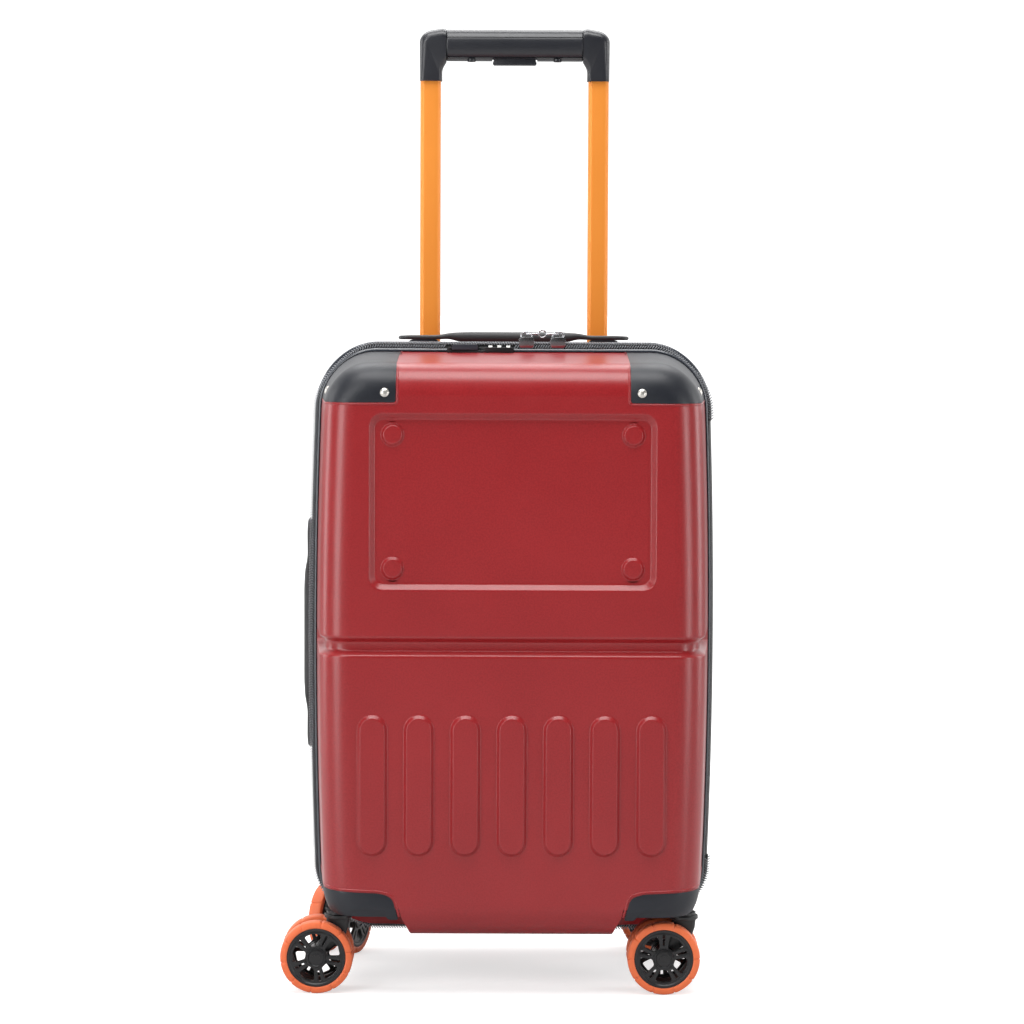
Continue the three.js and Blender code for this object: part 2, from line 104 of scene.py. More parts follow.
class Finish:
    """A node material on Object coordinates, with a Principled shader."""

    def __init__(self, name, **sockets):
        self.material = bpy.data.materials.new(name)
        self.material.use_nodes = True
        self.tree = self.material.node_tree
        self.shader = self.tree.nodes["Principled BSDF"]
        self.coordinates = self.tree.nodes.new("ShaderNodeTexCoord").outputs["Object"]
        for key, value in sockets.items():
            self.shader.inputs[key.replace("_", " ")].default_value = value

    def node(self, kind, inputs=(), **settings):
        return add_node(self.tree, kind, inputs, **settings)

    def noise(self, scale, detail=3.0, roughness=0.5, vector=None):
        return self.node("ShaderNodeTexNoise", {
            "Vector": vector or self.coordinates, "Scale": scale, "Detail": detail, "Roughness": roughness,
        }).outputs["Fac"]

    def ramp(self, fac, stops):
        made = self.node("ShaderNodeValToRGB", {"Fac": fac})
        elements = made.color_ramp.elements
        for i, (position, colour) in enumerate(stops):
            element = elements[i] if i < 2 else elements.new(position)
            element.position = position
            element.color = (*colour, 1.0)
        return made.outputs["Color"]

    def levels(self, fac, low, high):
        made = self.node("ShaderNodeMapRange", {"Value": fac, "To Min": low, "To Max": high})
        return made.outputs["Result"]

    def colour(self, socket):
        self.tree.links.new(socket, self.shader.inputs["Base Color"])

    def rough(self, socket):
        self.tree.links.new(socket, self.shader.inputs["Roughness"])

    def bump(self, height, strength, distance, below=None):
        inputs = {"Height": height, "Strength": strength, "Distance": distance}
        if below is not None:
            inputs["Normal"] = below
        normal = self.node("ShaderNodeBump", inputs).outputs["Normal"]
        self.tree.links.new(normal, self.shader.inputs["Normal"])
        return normal


def moulded(name, dark, light, roughness, grain, strength, speckle=0.0, **sockets):
    """Injection-moulded or formed plastic: faint colour drift, pebbled grain and scuffed gloss."""
    finish = Finish(name, **sockets)
    drift = finish.noise(9.0, 4.0)
    if speckle:
        spots = finish.node("ShaderNodeMapRange", {"Value": finish.noise(760.0, 1.0, 0.4), "From Min": 0.32,
                                                   "From Max": 0.68}).outputs["Result"]
        mixed = finish.node("ShaderNodeMix", {"Factor": speckle, "A": drift, "B": spots})
        drift = mixed.outputs["Result"]
    finish.colour(finish.ramp(drift, [(0.3, dark), (0.7, light)]))
    finish.rough(finish.levels(finish.noise(60.0, 5.0, 0.65), roughness - 0.05, roughness + 0.06))
    pebble = finish.noise(grain, 2.0, 0.55)
    wave = finish.bump(finish.noise(14.0, 2.0), 0.12, 0.0012)
    finish.bump(pebble, strength, 0.0002, below=wave)
    return finish.material


SHELL_RED = moulded("shell_red", (0.228, 0.0090, 0.0115), (0.278, 0.0130, 0.0155), 0.30, 1000.0, 0.28, 0.36,
                    Specular_IOR_Level=0.5)
GUARD_BLACK = moulded("guard_black", (0.0080, 0.0094, 0.0140), (0.0120, 0.0138, 0.0195), 0.43, 2300.0, 0.22,
                      Specular_IOR_Level=0.42)
CASTER_BLACK = moulded("caster_black", (0.0075, 0.0075, 0.0085), (0.012, 0.012, 0.013), 0.36, 1500.0, 0.16)
GRIP_BLACK = moulded("grip_black", (0.0075, 0.0084, 0.0122), (0.0112, 0.0122, 0.0168), 0.36, 2600.0, 0.12,
                     Specular_IOR_Level=0.6)
STRAP_BLACK = moulded("strap_black", (0.010, 0.010, 0.0115), (0.016, 0.016, 0.018), 0.52, 1900.0, 0.3,
                      Sheen_Weight=0.15)
TRIM_GREY = moulded("edge_trim_grey", (0.026, 0.030, 0.040), (0.034, 0.039, 0.050), 0.25, 1800.0, 0.08,
                    Specular_IOR_Level=0.75)
TYRE_ORANGE = moulded("tyre_orange", (0.70, 0.130, 0.038), (0.77, 0.155, 0.047), 0.52, 1700.0, 0.3,
                      Sheen_Weight=0.1)
DIAL_PALE = moulded("dial_pale", (0.62, 0.61, 0.57), (0.70, 0.69, 0.66), 0.35, 1500.0, 0.1)


def tube_finish(name, dark, light, metallic, roughness):
    """Drawn tube: lengthwise hairlines under a satin coat."""
    finish = Finish(name, Metallic=metallic)
    stretch = finish.node("ShaderNodeMapping", {"Vector": finish.coordinates, "Scale": (1.0, 1.0, 0.02)})
    lines = finish.noise(1400.0, 2.0, 0.6, vector=stretch.outputs["Vector"])
    finish.colour(finish.ramp(finish.noise(6.0, 3.0), [(0.3, dark), (0.7, light)]))
    finish.rough(finish.levels(lines, roughness - 0.05, roughness + 0.07))
    finish.bump(lines, 0.08, 0.0001)
    return finish.material


TUBE_ORANGE = tube_finish("trolley_orange", (0.72, 0.235, 0.026), (0.78, 0.265, 0.034), 0.2, 0.40)
TUBE_PLAIN = tube_finish("inner_tube_satin", (0.42, 0.43, 0.45), (0.50, 0.51, 0.53), 1.0, 0.34)


def plated(name, tone, roughness):
    finish = Finish(name, Metallic=1.0)
    low = tuple(0.9 * c for c in tone)
    finish.colour(finish.ramp(finish.noise(40.0, 3.0), [(0.35, low), (0.65, tone)]))
    finish.rough(finish.levels(finish.noise(300.0, 4.0), roughness - 0.04, roughness + 0.08))
    finish.bump(finish.noise(500.0, 2.0), 0.05, 0.0001)
    return finish.material


NICKEL = plated("rivet_nickel", (0.62, 0.60, 0.56), 0.38)
CHROME = plated("zip_chrome", (0.50, 0.51, 0.53), 0.2)


def woven(name, dark, light, scale, strength):
    """Plain weave from two crossed sets of threads."""
    finish = Finish(name, Roughness=0.9, Sheen_Weight=0.25, Sheen_Roughness=0.5)
    parts = finish.node("ShaderNodeSeparateXYZ", {"Vector": finish.coordinates}).outputs
    along = finish.node("ShaderNodeMath", {0: parts["X"], 1: parts["Y"]}, operation="ADD").outputs[0]
    threads = []
    for value in (along, parts["Z"]):
        angle = finish.node("ShaderNodeMath", {0: value, 1: scale}, operation="MULTIPLY").outputs[0]
        threads.append(finish.node("ShaderNodeMath", {0: angle}, operation="SINE").outputs[0])
    cross = finish.node("ShaderNodeMath", {0: threads[0], 1: threads[1]}, operation="MULTIPLY").outputs[0]
    cross = finish.node("ShaderNodeMapRange", {"Value": cross, "From Min": -1.0}).outputs["Result"]
    finish.colour(finish.ramp(cross, [(0.2, dark), (0.8, light)]))
    finish.bump(cross, strength, 0.0003)
    return finish.material


TAPE_BLACK = woven("zip_tape_black", (0.004, 0.004, 0.0045), (0.012, 0.012, 0.0135), 5200.0, 0.5)
LINING_GREY = woven("lining_grey", (0.030, 0.031, 0.034), (0.062, 0.064, 0.069), 3600.0, 0.35)
# The zip coil is black, but its colour here is a light grey: a painted highlight on every tooth.
COIL_PAINTED_HIGHLIGHT = moulded("zip_coil_black", (0.17, 0.175, 0.19), (0.24, 0.25, 0.27), 0.3, 1500.0, 0.05)


# ---- mesh tools -------------------------------------------------------------------------
def mesh_object(name, points, faces, material, smooth=True):
    """A piece from millimetre points; it sits at the origin with its place in its mesh."""
    mesh = bpy.data.meshes.new(name)
    scaled = [((x + CENTRE_X) * MM, y * MM, z * MM) for x, y, z in points]
    mesh.from_pydata(scaled, [], [tuple(int(i) for i in f) for f in faces])
    mesh.materials.append(material)
    for polygon in mesh.polygons:
        polygon.use_smooth = smooth
    piece = bpy.data.objects.new(name, mesh)
    bpy.context.scene.collection.objects.link(piece)
    return piece


@contextmanager
def opened(piece):
    """The piece's mesh as a bmesh, written back afterwards."""
    made = bmesh.new()
    made.from_mesh(piece.data)
    yield made
    made.to_mesh(piece.data)
    made.free()


def tidy_mesh(piece, merge=0.01):
    """Doubles merged and normals turned outward."""
    with opened(piece) as made:
        bmesh.ops.remove_doubles(made, verts=made.verts, dist=merge * MM)
        bmesh.ops.dissolve_degenerate(made, edges=made.edges, dist=0.001 * MM)
        bmesh.ops.recalc_face_normals(made, faces=made.faces)
    return piece


def apply_modifiers(piece):
    bpy.context.view_layer.update()
    evaluated = piece.evaluated_get(bpy.context.evaluated_depsgraph_get())
    mesh = bpy.data.meshes.new_from_object(evaluated)
    old = piece.data
    piece.modifiers.clear()
    piece.data = mesh
    bpy.data.meshes.remove(old)
    mesh.name = piece.name
    return piece


def sharpen(piece, angle=34.0):
    """Smooth shading that breaks at edges sharper than the angle."""
    with opened(piece) as made:
        for face in made.faces:
            face.smooth = True
        for edge in made.edges:
            if len(edge.link_faces) == 2:
                edge.smooth = edge.calc_face_angle(0.0) < math.radians(angle)
    return piece


def bevelled(piece, width, segments=2, angle=35.0):
    bevel = piece.modifiers.new("bevel", "BEVEL")
    bevel.width = width * MM
    bevel.segments = segments
    bevel.limit_method = "ANGLE"
    bevel.angle_limit = math.radians(angle)
    bevel.use_clamp_overlap = True
    bevel.harden_normals = False
    apply_modifiers(piece)
    return sharpen(piece, 50.0)


def settle(piece, body, *nodes):
    """Puts a finished piece on its body and the solids it stands for."""
    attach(piece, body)
    if nodes:
        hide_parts(*nodes)
    return piece


def metres(x, y, z):
    return Vector(((x + CENTRE_X) * MM, y * MM, z * MM))


def round_angles(count):
    return np.linspace(0, 2 * math.pi, count, endpoint=False)


class Build:
    """Points and faces gathered from strips, rings and fills."""

    def __init__(self):
        self.points, self.faces = [], []

    def ring(self, points):
        start = len(self.points)
        self.points.extend([tuple(p) for p in points])
        return list(range(start, start + len(points)))

    def band(self, a, b, closed=True):
        n = len(a)
        for i in range(n if closed else n - 1):
            j = (i + 1) % n
            self.faces.append((a[i], a[j], b[j], b[i]))

    def bands(self, rings, closed=True):
        for a, b in zip(rings, rings[1:]):
            self.band(a, b, closed)

    def fill(self, outer, holes=()):
        """Planar face with holes, cut into triangles."""
        loops = [outer, *holes]
        flat = [i for loop in loops for i in loop]
        shape = [[Vector(self.points[i]) for i in loop] for loop in loops]
        for tri in tessellate_polygon(shape):
            self.faces.append(tuple(flat[k] for k in tri))

    def solid(self, rings):
        """Bands between the rings, first and last filled."""
        self.bands(rings)
        self.fill(rings[0])
        self.fill(rings[-1])

    def lathe(self, profile, place, steps, start=0.0, shape=None):
        """Rings of (radius, height) round an axis; place maps (x, y, height) to the case."""
        rings = []
        for radius, height in profile:
            loop = []
            for i in range(steps):
                a = start + 2 * math.pi * i / steps
                r, h = (radius, height) if shape is None else shape(a, radius, height)
                loop.append(place(r * math.cos(a), r * math.sin(a), h))
            rings.append(self.ring(loop))
        self.bands(rings)
        return rings

    def object(self, name, material, smooth=True, merge=0.01):
        return tidy_mesh(mesh_object(name, self.points, self.faces, material, smooth), merge)


def rounded_polyline(points, radius, steps=4):
    """Corners of an open polyline turned into short curves."""
    out = [points[0]]
    for a, b, c in zip(points, points[1:], points[2:]):
        a, b, c = Vector(a), Vector(b), Vector(c)
        d = min(radius, (a - b).length * 0.48, (c - b).length * 0.48)
        p, q = b + (a - b).normalized() * d, b + (c - b).normalized() * d
        for k in range(steps + 1):
            t = k / steps
            out.append(tuple(p * (1 - t) ** 2 + b * 2 * t * (1 - t) + q * t * t))
    out.append(points[-1])
    return out


def rounded_rect(half_w, half_h, r, steps=6, cx=0.0, cy=0.0):
    points = []
    for sx, sy, start in ((1, -1, -90), (1, 1, 0), (-1, 1, 90), (-1, -1, 180)):
        for i in range(steps + 1):
            a = math.radians(start + 90 * i / steps)
            points.append((cx + sx * (half_w - r) + r * math.cos(a), cy + sy * (half_h - r) + r * math.sin(a)))
    return points


def stadium(half_w, z0, z1, grow, cx, steps=12):
    r = half_w + grow
    points = []
    for cz, start in ((z1 - half_w, 0), (z0 + half_w, 180)):
        for i in range(steps + 1):
            a = math.radians(start + 180 * i / steps)
            points.append((cx + r * math.cos(a), cz + r * math.sin(a)))
    return points


# ---- the case's outline -------------------------------------------------------------------
def side_rows(count):
    return list(np.linspace(SIDE_LOW, SIDE_HIGH, count))


def side_knots(kind):
    """Heights at which every section has a point on its straight sides, packed round the lid's groove."""
    if kind is not LID:
        return side_rows(20)
    rows = [GROOVE["z"] + dz for dz, _ in groove_profile()]
    return sorted(rows + [z for z in side_rows(20) if abs(z - GROOVE["z"]) > 13.0])


def groove_profile():
    g = GROOVE
    polyline = [(-g["mouth"] - 3.0, 0.0), (-g["mouth"], 0.0), (-g["floor"], g["depth"]),
                (g["floor"], g["depth"]), (g["mouth"], 0.0), (g["mouth"] + 3.0, 0.0)]
    return rounded_polyline([(-g["mouth"] - 4.5, 0.0), *polyline, (g["mouth"] + 4.5, 0.0)], 1.5, 4)


def outline(grow, top, knots, corner_steps=14, pull=0.0):
    """Anticlockwise (x, z) points seen from the front, with a row mark for each side knot.

    pull draws the corners in."""
    half_w = HALF_WIDTH + grow
    mid = (RIM_TOP + top + RIM_BOTTOM) / 2
    half_h = (RIM_TOP + top - RIM_BOTTOM) / 2 + grow
    r = CORNER_R + grow
    points = []
    for sx, sz, start in ((1, -1, -90), (1, 1, 0), (-1, 1, 90), (-1, -1, 180)):
        for i in range(corner_steps + 1):
            a = math.radians(start + 90 * i / corner_steps)
            reach = r - pull * math.sin(math.pi * i / corner_steps) ** 1.5
            points.append((sx * (half_w - r) + reach * math.cos(a),
                           mid + sz * (half_h - r) + reach * math.sin(a), None))
        if (sx, sz) == (1, -1):
            points += [(half_w, z, k) for k, z in enumerate(knots)]
        elif (sx, sz) == (-1, 1):
            points += [(-half_w, z, k) for k, z in reversed(list(enumerate(knots)))]
        else:
            width = half_w - r
            points += [(-sz * width * (t - 1), mid + sz * half_h, None) for t in (0.5, 1.0, 1.5)]
    return [(x * (1 - BARREL * ((z - mid) / half_h) ** 2), z, k) for x, z, k in points]


def section_ring(build, kind, y, grow, knots):
    return build.ring([(x, kind["side"] * y, z) for x, z, _ in outline(grow, kind["top"], knots)])


def depth_profile(rim_grow, inset=0.0, start=RIM_START, steps=10):
    """(distance from the zip plane, grow, inward turn of the wall) from rim to face."""
    straight = DEPTH - FACE_FILLET
    rows = []
    for t in np.linspace(0, 1, 9):
        y = start + (straight - start) * t
        rows.append((y, rim_grow - (y - RIM_START) * DRAFT - inset, 0.0))
    grow = rows[-1][1]
    r = FACE_FILLET - inset
    for k in range(1, steps + 1):
        a = math.pi / 2 * k / steps
        rows.append((straight + r * math.sin(a), grow - r * (1 - math.cos(a)), a))
    rows.append((straight + r, rows[-1][1] - 1.2, math.pi / 2))
    return rows


def half_shell(kind, features):
    """Outer skin of one shell as rings from rim to face, then the moulded face."""
    build = Build()
    knots = side_knots(kind)
    depths = dict(groove_profile()) if kind is LID else {}
    groove_z = {round(GROOVE["z"] + dz, 6): d for dz, d in depths.items()}
    rings, last = [], None
    for y, grow, turn in depth_profile(kind["grow"]):
        sink = min(1.0, max(0.0, (y - GROOVE["stop"]) / 5.0))
        sink = sink * sink * (3 - 2 * sink)
        loop = []
        for x, z, k in outline(grow, kind["top"], knots):
            d = groove_z.get(round(z, 6), 0.0) * sink if k is not None else 0.0
            nx = -math.copysign(1.0, x) * math.cos(turn)
            loop.append((x + nx * d, kind["side"] * (y - math.sin(turn) * d), z))
        rings.append(build.ring(loop))
        last = outline(grow, kind["top"], knots)
    build.bands(rings)
    face = rings[-1]
    right = {k: face[i] for i, (x, z, k) in enumerate(last) if k is not None and x > 0}
    left = {k: face[i] for i, (x, z, k) in enumerate(last) if k is not None and x < 0}
    if kind is LID:
        rows = [k for k, z in enumerate(knots) if round(z, 6) in groove_z]
        for a, b in zip(rows, rows[1:]):
            build.faces.append((right[a], right[b], left[b], left[a]))
        upper = [face[i] for i, (_, z, _) in enumerate(last) if z >= knots[rows[-1]] - 1e-6]
        # the loop starts at the bottom right corner, so only the lower part comes in two runs
        keep = [i for i, (_, z, _) in enumerate(last) if z <= knots[rows[0]] + 1e-6]
        split = next(n for n in range(1, len(keep)) if keep[n] != keep[n - 1] + 1)
        lower = [face[i] for i in keep[split:] + keep[:split]]
    else:
        upper, lower = face, None
    holes_up, holes_low = features(build, kind["side"] * DEPTH, kind["side"])
    build.fill(upper, holes_up)
    if lower:
        build.fill(lower, holes_low)
    return build


def loops_at(build, shape, profile, face_y, side):
    """Rings for a raised or sunk shape; profile is (offset outward, height out of the face)."""
    return [build.ring([(x, face_y + side * h, z) for x, z in shape(o)]) for o, h in profile]


def step_profile(flat, slope, height, radius):
    """A sloped step of the given height, with a flat on each side and both corners rounded."""
    return rounded_polyline([(flat, 0.0), (0.0, 0.0), (-slope, height), (-slope - flat, height)], radius)


def lid_face(build, face_y, side):
    b = BADGE
    recess = step_profile(1.6, b["slope"], -b["depth"], 1.25)

    def plate(o):
        return rounded_rect(b["half_w"] + o, b["half_h"] + o, b["radius"] + o * 0.75, 8, 0.0, b["z"])

    rings = loops_at(build, plate, [(1.8, 0.0), *recess, (-b["slope"] - 2.4, -b["depth"])], face_y, side)
    build.bands(rings)
    boss_holes = []
    dome = rounded_polyline([(1.2, 0.0), (0.0, 0.0), (-2.0, BOSS["height"]), (-3.6, BOSS["height"])], 0.8)
    for sx in (-1, 1):
        for sz in (-1, 1):
            def disc(o):
                r = BOSS["foot"] + o
                return [(sx * BOSS["x"] + r * math.cos(a), b["z"] + sz * BOSS["z"] + r * math.sin(a))
                        for a in round_angles(40)]
            heights = [(o, h - b["depth"]) for o, h in [(1.6, 0.0), *dome]]
            boss = loops_at(build, disc, heights, face_y, side)
            build.bands(boss)
            build.fill(boss[-1])
            boss_holes.append(boss[0])
    build.fill(rings[-1], boss_holes)
    ribs = []
    slope = step_profile(1.4, RIB["slope"], RIB["height"], 1.1)
    for i in range(RIB["count"]):
        cx = (i - (RIB["count"] - 1) / 2) * RIB["pitch"]
        def bar(o):
            return stadium(RIB["half"], RIB["z0"], RIB["z1"], o, cx)
        rib = loops_at(build, bar, [(1.8, 0.0), *slope, (-RIB["slope"] - 2.0, RIB["height"])], face_y, side)
        build.bands(rib)
        build.fill(rib[-1])
        ribs.append(rib[0])
    return [rings[0]], ribs


def base_face(build, face_y, side):
    """Five shallow channels down the back."""
    holes = []
    slope = step_profile(1.4, 3.0, -2.0, 0.95)
    for cx in (-104.0, -52.0, 0.0, 52.0, 104.0):
        def channel(o):
            return stadium(11.0, 120.0, 440.0, o, cx)
        rings = loops_at(build, channel, [(1.8, 0.0), *slope, (-5.0, -2.0)], face_y, side)
        build.bands(rings)
        build.fill(rings[-1])
        holes.append(rings[0])
    return holes, []


def solid_tool(name, rings, material=SHELL_RED):
    """Closed solid from rings of points."""
    build = Build()
    made = [build.ring(r) for r in rings]
    build.solid(made)
    return build.object(name, material)


def block(x0, x1, y0, y1, z0, z1):
    corners = ((x0, y0), (x1, y0), (x1, y1), (x0, y1))
    return solid_tool("block", [[(x, y, z) for x, y in corners] for z in (z0, z1)])


def silhouette_bar(shape, y0, y1, name="silhouette", material=SHELL_RED):
    """An (x, z) shape drawn out along Y."""
    return solid_tool(name, [[(x, y, z) for x, z in shape] for y in (y0, y1)], material)


def combine(piece, operation, tools):
    for tool in tools:
        boolean = piece.modifiers.new("cut", "BOOLEAN")
        boolean.operation = operation
        boolean.solver = "EXACT"
        boolean.object = tool
    apply_modifiers(piece)
    for tool in tools:
        bpy.data.objects.remove(tool)
    return piece


def pocket_tool(x, y):
    """Caster pocket: a rounded square with flared walls."""
    rings = []
    for z, flare in ((10.0, 13.0), (40.0, 12.0), (55.0, 6.5), (66.0, 1.6), (POCKET_TOP, 0.0)):
        shape = rounded_rect(POCKET_R + flare, POCKET_R + flare * 0.5, POCKET_CORNER, 10, x, y)
        rings.append([(px, py, z) for px, py in shape])
    return solid_tool("pocket", rings)


def corner_places(kind):
    return [(name, x, y) for name, (x, y, _) in CORNERS.items() if (y < 0) == (kind["side"] < 0)]


def open_rim(made, level):
    """Deletes the faces that close a shell at the given distance from the zip plane."""
    rim = [f for f in made.faces
           if abs(abs(f.calc_center_median().y) / MM - level) < 0.01 and abs(f.normal.y) > 0.99]
    bmesh.ops.delete(made, geom=rim, context="FACES")


def make_shell(name, kind, features, node, body, opening):
    build = half_shell(kind, features)
    build.fill(list(range(len(outline(0.0, 0.0, side_knots(kind))))))
    piece = build.object(name, SHELL_RED)
    combine(piece, "DIFFERENCE", [pocket_tool(x, y) for _, x, y in corner_places(kind)])
    with opened(piece) as made:
        open_rim(made, RIM_START)
    thick = piece.modifiers.new("wall", "SOLIDIFY")
    thick.thickness = WALL * MM
    thick.offset = -1.0
    apply_modifiers(piece)
    combine(piece, "DIFFERENCE", [block(*opening)])
    sharpen(piece, 32.0)
    return settle(piece, body, node)


make_shell("lid_shell_moulded", LID, lid_face, "lid_shell", "lid", LOCK_OPENING)
make_shell("base_shell_moulded", BASE, base_face, "base_shell", "base", BEZEL_OPENING)


# ---- corner guards --------------------------------------------------------------------------
def plain_half(kind, swell, inset):
    """The shell's envelope as a plain closed solid, swollen or inset."""
    knots = side_rows(20)
    build = Build()
    rings = []
    for y, grow, turn in depth_profile(kind["grow"], inset):
        y = y + swell * math.sin(turn)
        rings.append(section_ring(build, kind, y, grow + swell, knots))
    build.solid(rings)
    return build.object("envelope", GUARD_BLACK)


def curve_through(points, radii, steps=6):
    """Closed (x, z) shape with each corner rounded by its own radius."""
    out = []
    n = len(points)
    for i in range(n):
        a, b, c = (Vector(points[k % n]) for k in (i - 1, i, i + 1))
        d = min(radii[i], (a - b).length * 0.48, (c - b).length * 0.48)
        p, q = b + (a - b).normalized() * d, b + (c - b).normalized() * d
        for k in range(steps + 1 if d > 0.01 else 1):
            t = k / steps
            out.append(tuple(p * (1 - t) ** 2 + b * 2 * t * (1 - t) + q * t * t))
    return out


def guard_shapes(hand):
    """Front silhouettes of a top and a low guard, each with a rounding radius for every corner."""
    top = [(hand * x, z) for x, z in ((95.0, 600.0), (95.4, 488.8), (250.0, 488.2), (250.0, 600.0))]
    low = [(hand * x, z) for x, z in ((250.0, 92.6), (107.0, 86.6), (97.5, 83.0), (92.6, 64.4), (101.0, 64.4),
                                      (103.5, 69.0), (111.0, 73.0), (127.0, 73.2), (133.5, 68.6), (250.0, 68.6))]
    top_radii = (0, 2.6, 0, 0)
    low_radii = (0, 6.0, 9.0, 1.6, 2.5, 2.5, 3.0, 3.0, 3.0, 0)
    return (top, top_radii), (low, low_radii)


def edge_bead(name, kind, path_front, side_z, side_stop, hand, body):
    """A rounded shell lip that frames a guard: along the face, then round the side."""
    tree = envelope_trees[kind["side"]]
    places = []
    for x, z in path_front:
        hit, normal, _, _ = tree.ray_cast(Vector(((x + CENTRE_X) * MM, kind["side"] * 0.3, z * MM)),
                                          Vector((0, -kind["side"], 0)))
        if hit is not None and abs(normal.x) < 0.75 and abs(normal.z) < 0.97:
            places.append((hit, normal))
    if side_z is not None:
        for y in np.arange(108.0, side_stop, -2.0):
            start = Vector((hand * 0.3 + CENTRE_X * MM, kind["side"] * y * MM, side_z * MM))
            hit, normal, _, _ = tree.ray_cast(start, Vector((-hand, 0, 0)))
            if hit is not None and abs(normal.x) >= 0.75:
                places.append((hit, normal))
    centres = [Vector(h) - Vector(n) * 0.62 * MM for h, n in places]
    return sweep(name, centres, [n for _, n in places], 1.15, SHELL_RED, body)


def sweep(name, centres, normals, radius, material, body, sides=10, closed=False):
    """Round bar along metre points."""
    build = Build()
    rings = []
    n = len(centres)
    for i, c in enumerate(centres):
        a = centres[(i - 1) % n] if closed else centres[max(0, i - 1)]
        b = centres[(i + 1) % n] if closed else centres[min(n - 1, i + 1)]
        tangent = (b - a).normalized()
        up = Vector(normals[i]) - tangent * tangent.dot(Vector(normals[i]))
        up.normalize()
        across = tangent.cross(up)
        loop = []
        for k in range(sides):
            t = 2 * math.pi * k / sides
            p = c / MM + (up * math.cos(t) + across * math.sin(t)) * radius
            loop.append((p.x - CENTRE_X, p.y, p.z))
        rings.append(build.ring(loop))
    build.bands(rings)
    if closed:
        build.band(rings[-1], rings[0])
    else:
        build.fill(rings[0])
        build.fill(rings[-1])
    piece = build.object(name, material)
    return settle(piece, body) if body else piece


envelope_trees = {}
for kind in (LID, BASE):
    solid = plain_half(kind, 0.0, 0.0)
    envelope_trees[kind["side"]] = BVHTree.FromObject(solid, bpy.context.evaluated_depsgraph_get())
    bpy.data.objects.remove(solid)


def make_guard(kind, hand, level):
    end, side = ("front" if kind is LID else "rear"), ("left" if hand < 0 else "right")
    body = "lid" if kind is LID else "base"
    shape, radii = guard_shapes(hand)[0 if level == "top" else 1]
    stop = 9.4 if level == "top" else 10.6
    y0, y1 = sorted((kind["side"] * stop, kind["side"] * 130.0))
    node = f"guard_top_{end}_{side}" if level == "top" else f"caster_housing_{end}_{side}"
    piece = plain_half(kind, 0.35, 0.0)
    combine(piece, "INTERSECT", [silhouette_bar(curve_through(shape, radii), y0, y1)])
    combine(piece, "DIFFERENCE", [plain_half(kind, 0.0, 1.5)])
    piece.name = node + "_skin"
    piece.data.name = piece.name
    bevelled(piece, 0.45, 2, 50.0)
    settle(piece, body, node)
    if level == "top":
        line = [(hand * 94.1, z) for z in np.arange(540.0, 491.5, -1.5)]
        line += [(hand * 94.3, 489.4), (hand * 95.0, 488.1), (hand * 96.4, 487.6)]
        line += [(hand * x, 487.4) for x in np.arange(98.0, 172.0, 1.5)]
        edge_bead(f"seat_lip_top_{end}_{side}", kind, line, 487.4, stop, hand, body)
    else:
        upper = curve_through([(hand * x, z) for x, z in ((91.8, 67.0), (96.4, 84.6), (106.6, 88.0), (175.0, 91.2))],
                              (0, 9.0, 6.0, 0))
        dense = []
        for a, b in zip(upper, upper[1:]):
            steps = max(1, int(math.dist(a, b) / 1.5))
            dense += [(a[0] + (b[0] - a[0]) * k / steps, a[1] + (b[1] - a[1]) * k / steps) for k in range(steps)]
        edge_bead(f"seat_lip_low_{end}_{side}", kind, dense, 90.8, stop, hand, body)
    return piece


for kind in (LID, BASE):
    for hand in (-1, 1):
        for level in ("top", "low"):
            make_guard(kind, hand, level)
    for corner, x, y in corner_places(kind):
        shapes = [[(px, py, z) for px, py in rounded_rect(POCKET_R - o, POCKET_R - o, 23.0, 10, x, y)]
                  for z, o in ((67.0, 3.2), (68.2, 1.4), (73.6, 0.6))]
        plate = solid_tool(f"caster_plate_{corner}", shapes, GUARD_BLACK)
        combine(plate, "INTERSECT", [plain_half(kind, 0.0, 0.5)])
        sharpen(plate, 35.0)
        settle(plate, "lid" if kind is LID else "base")


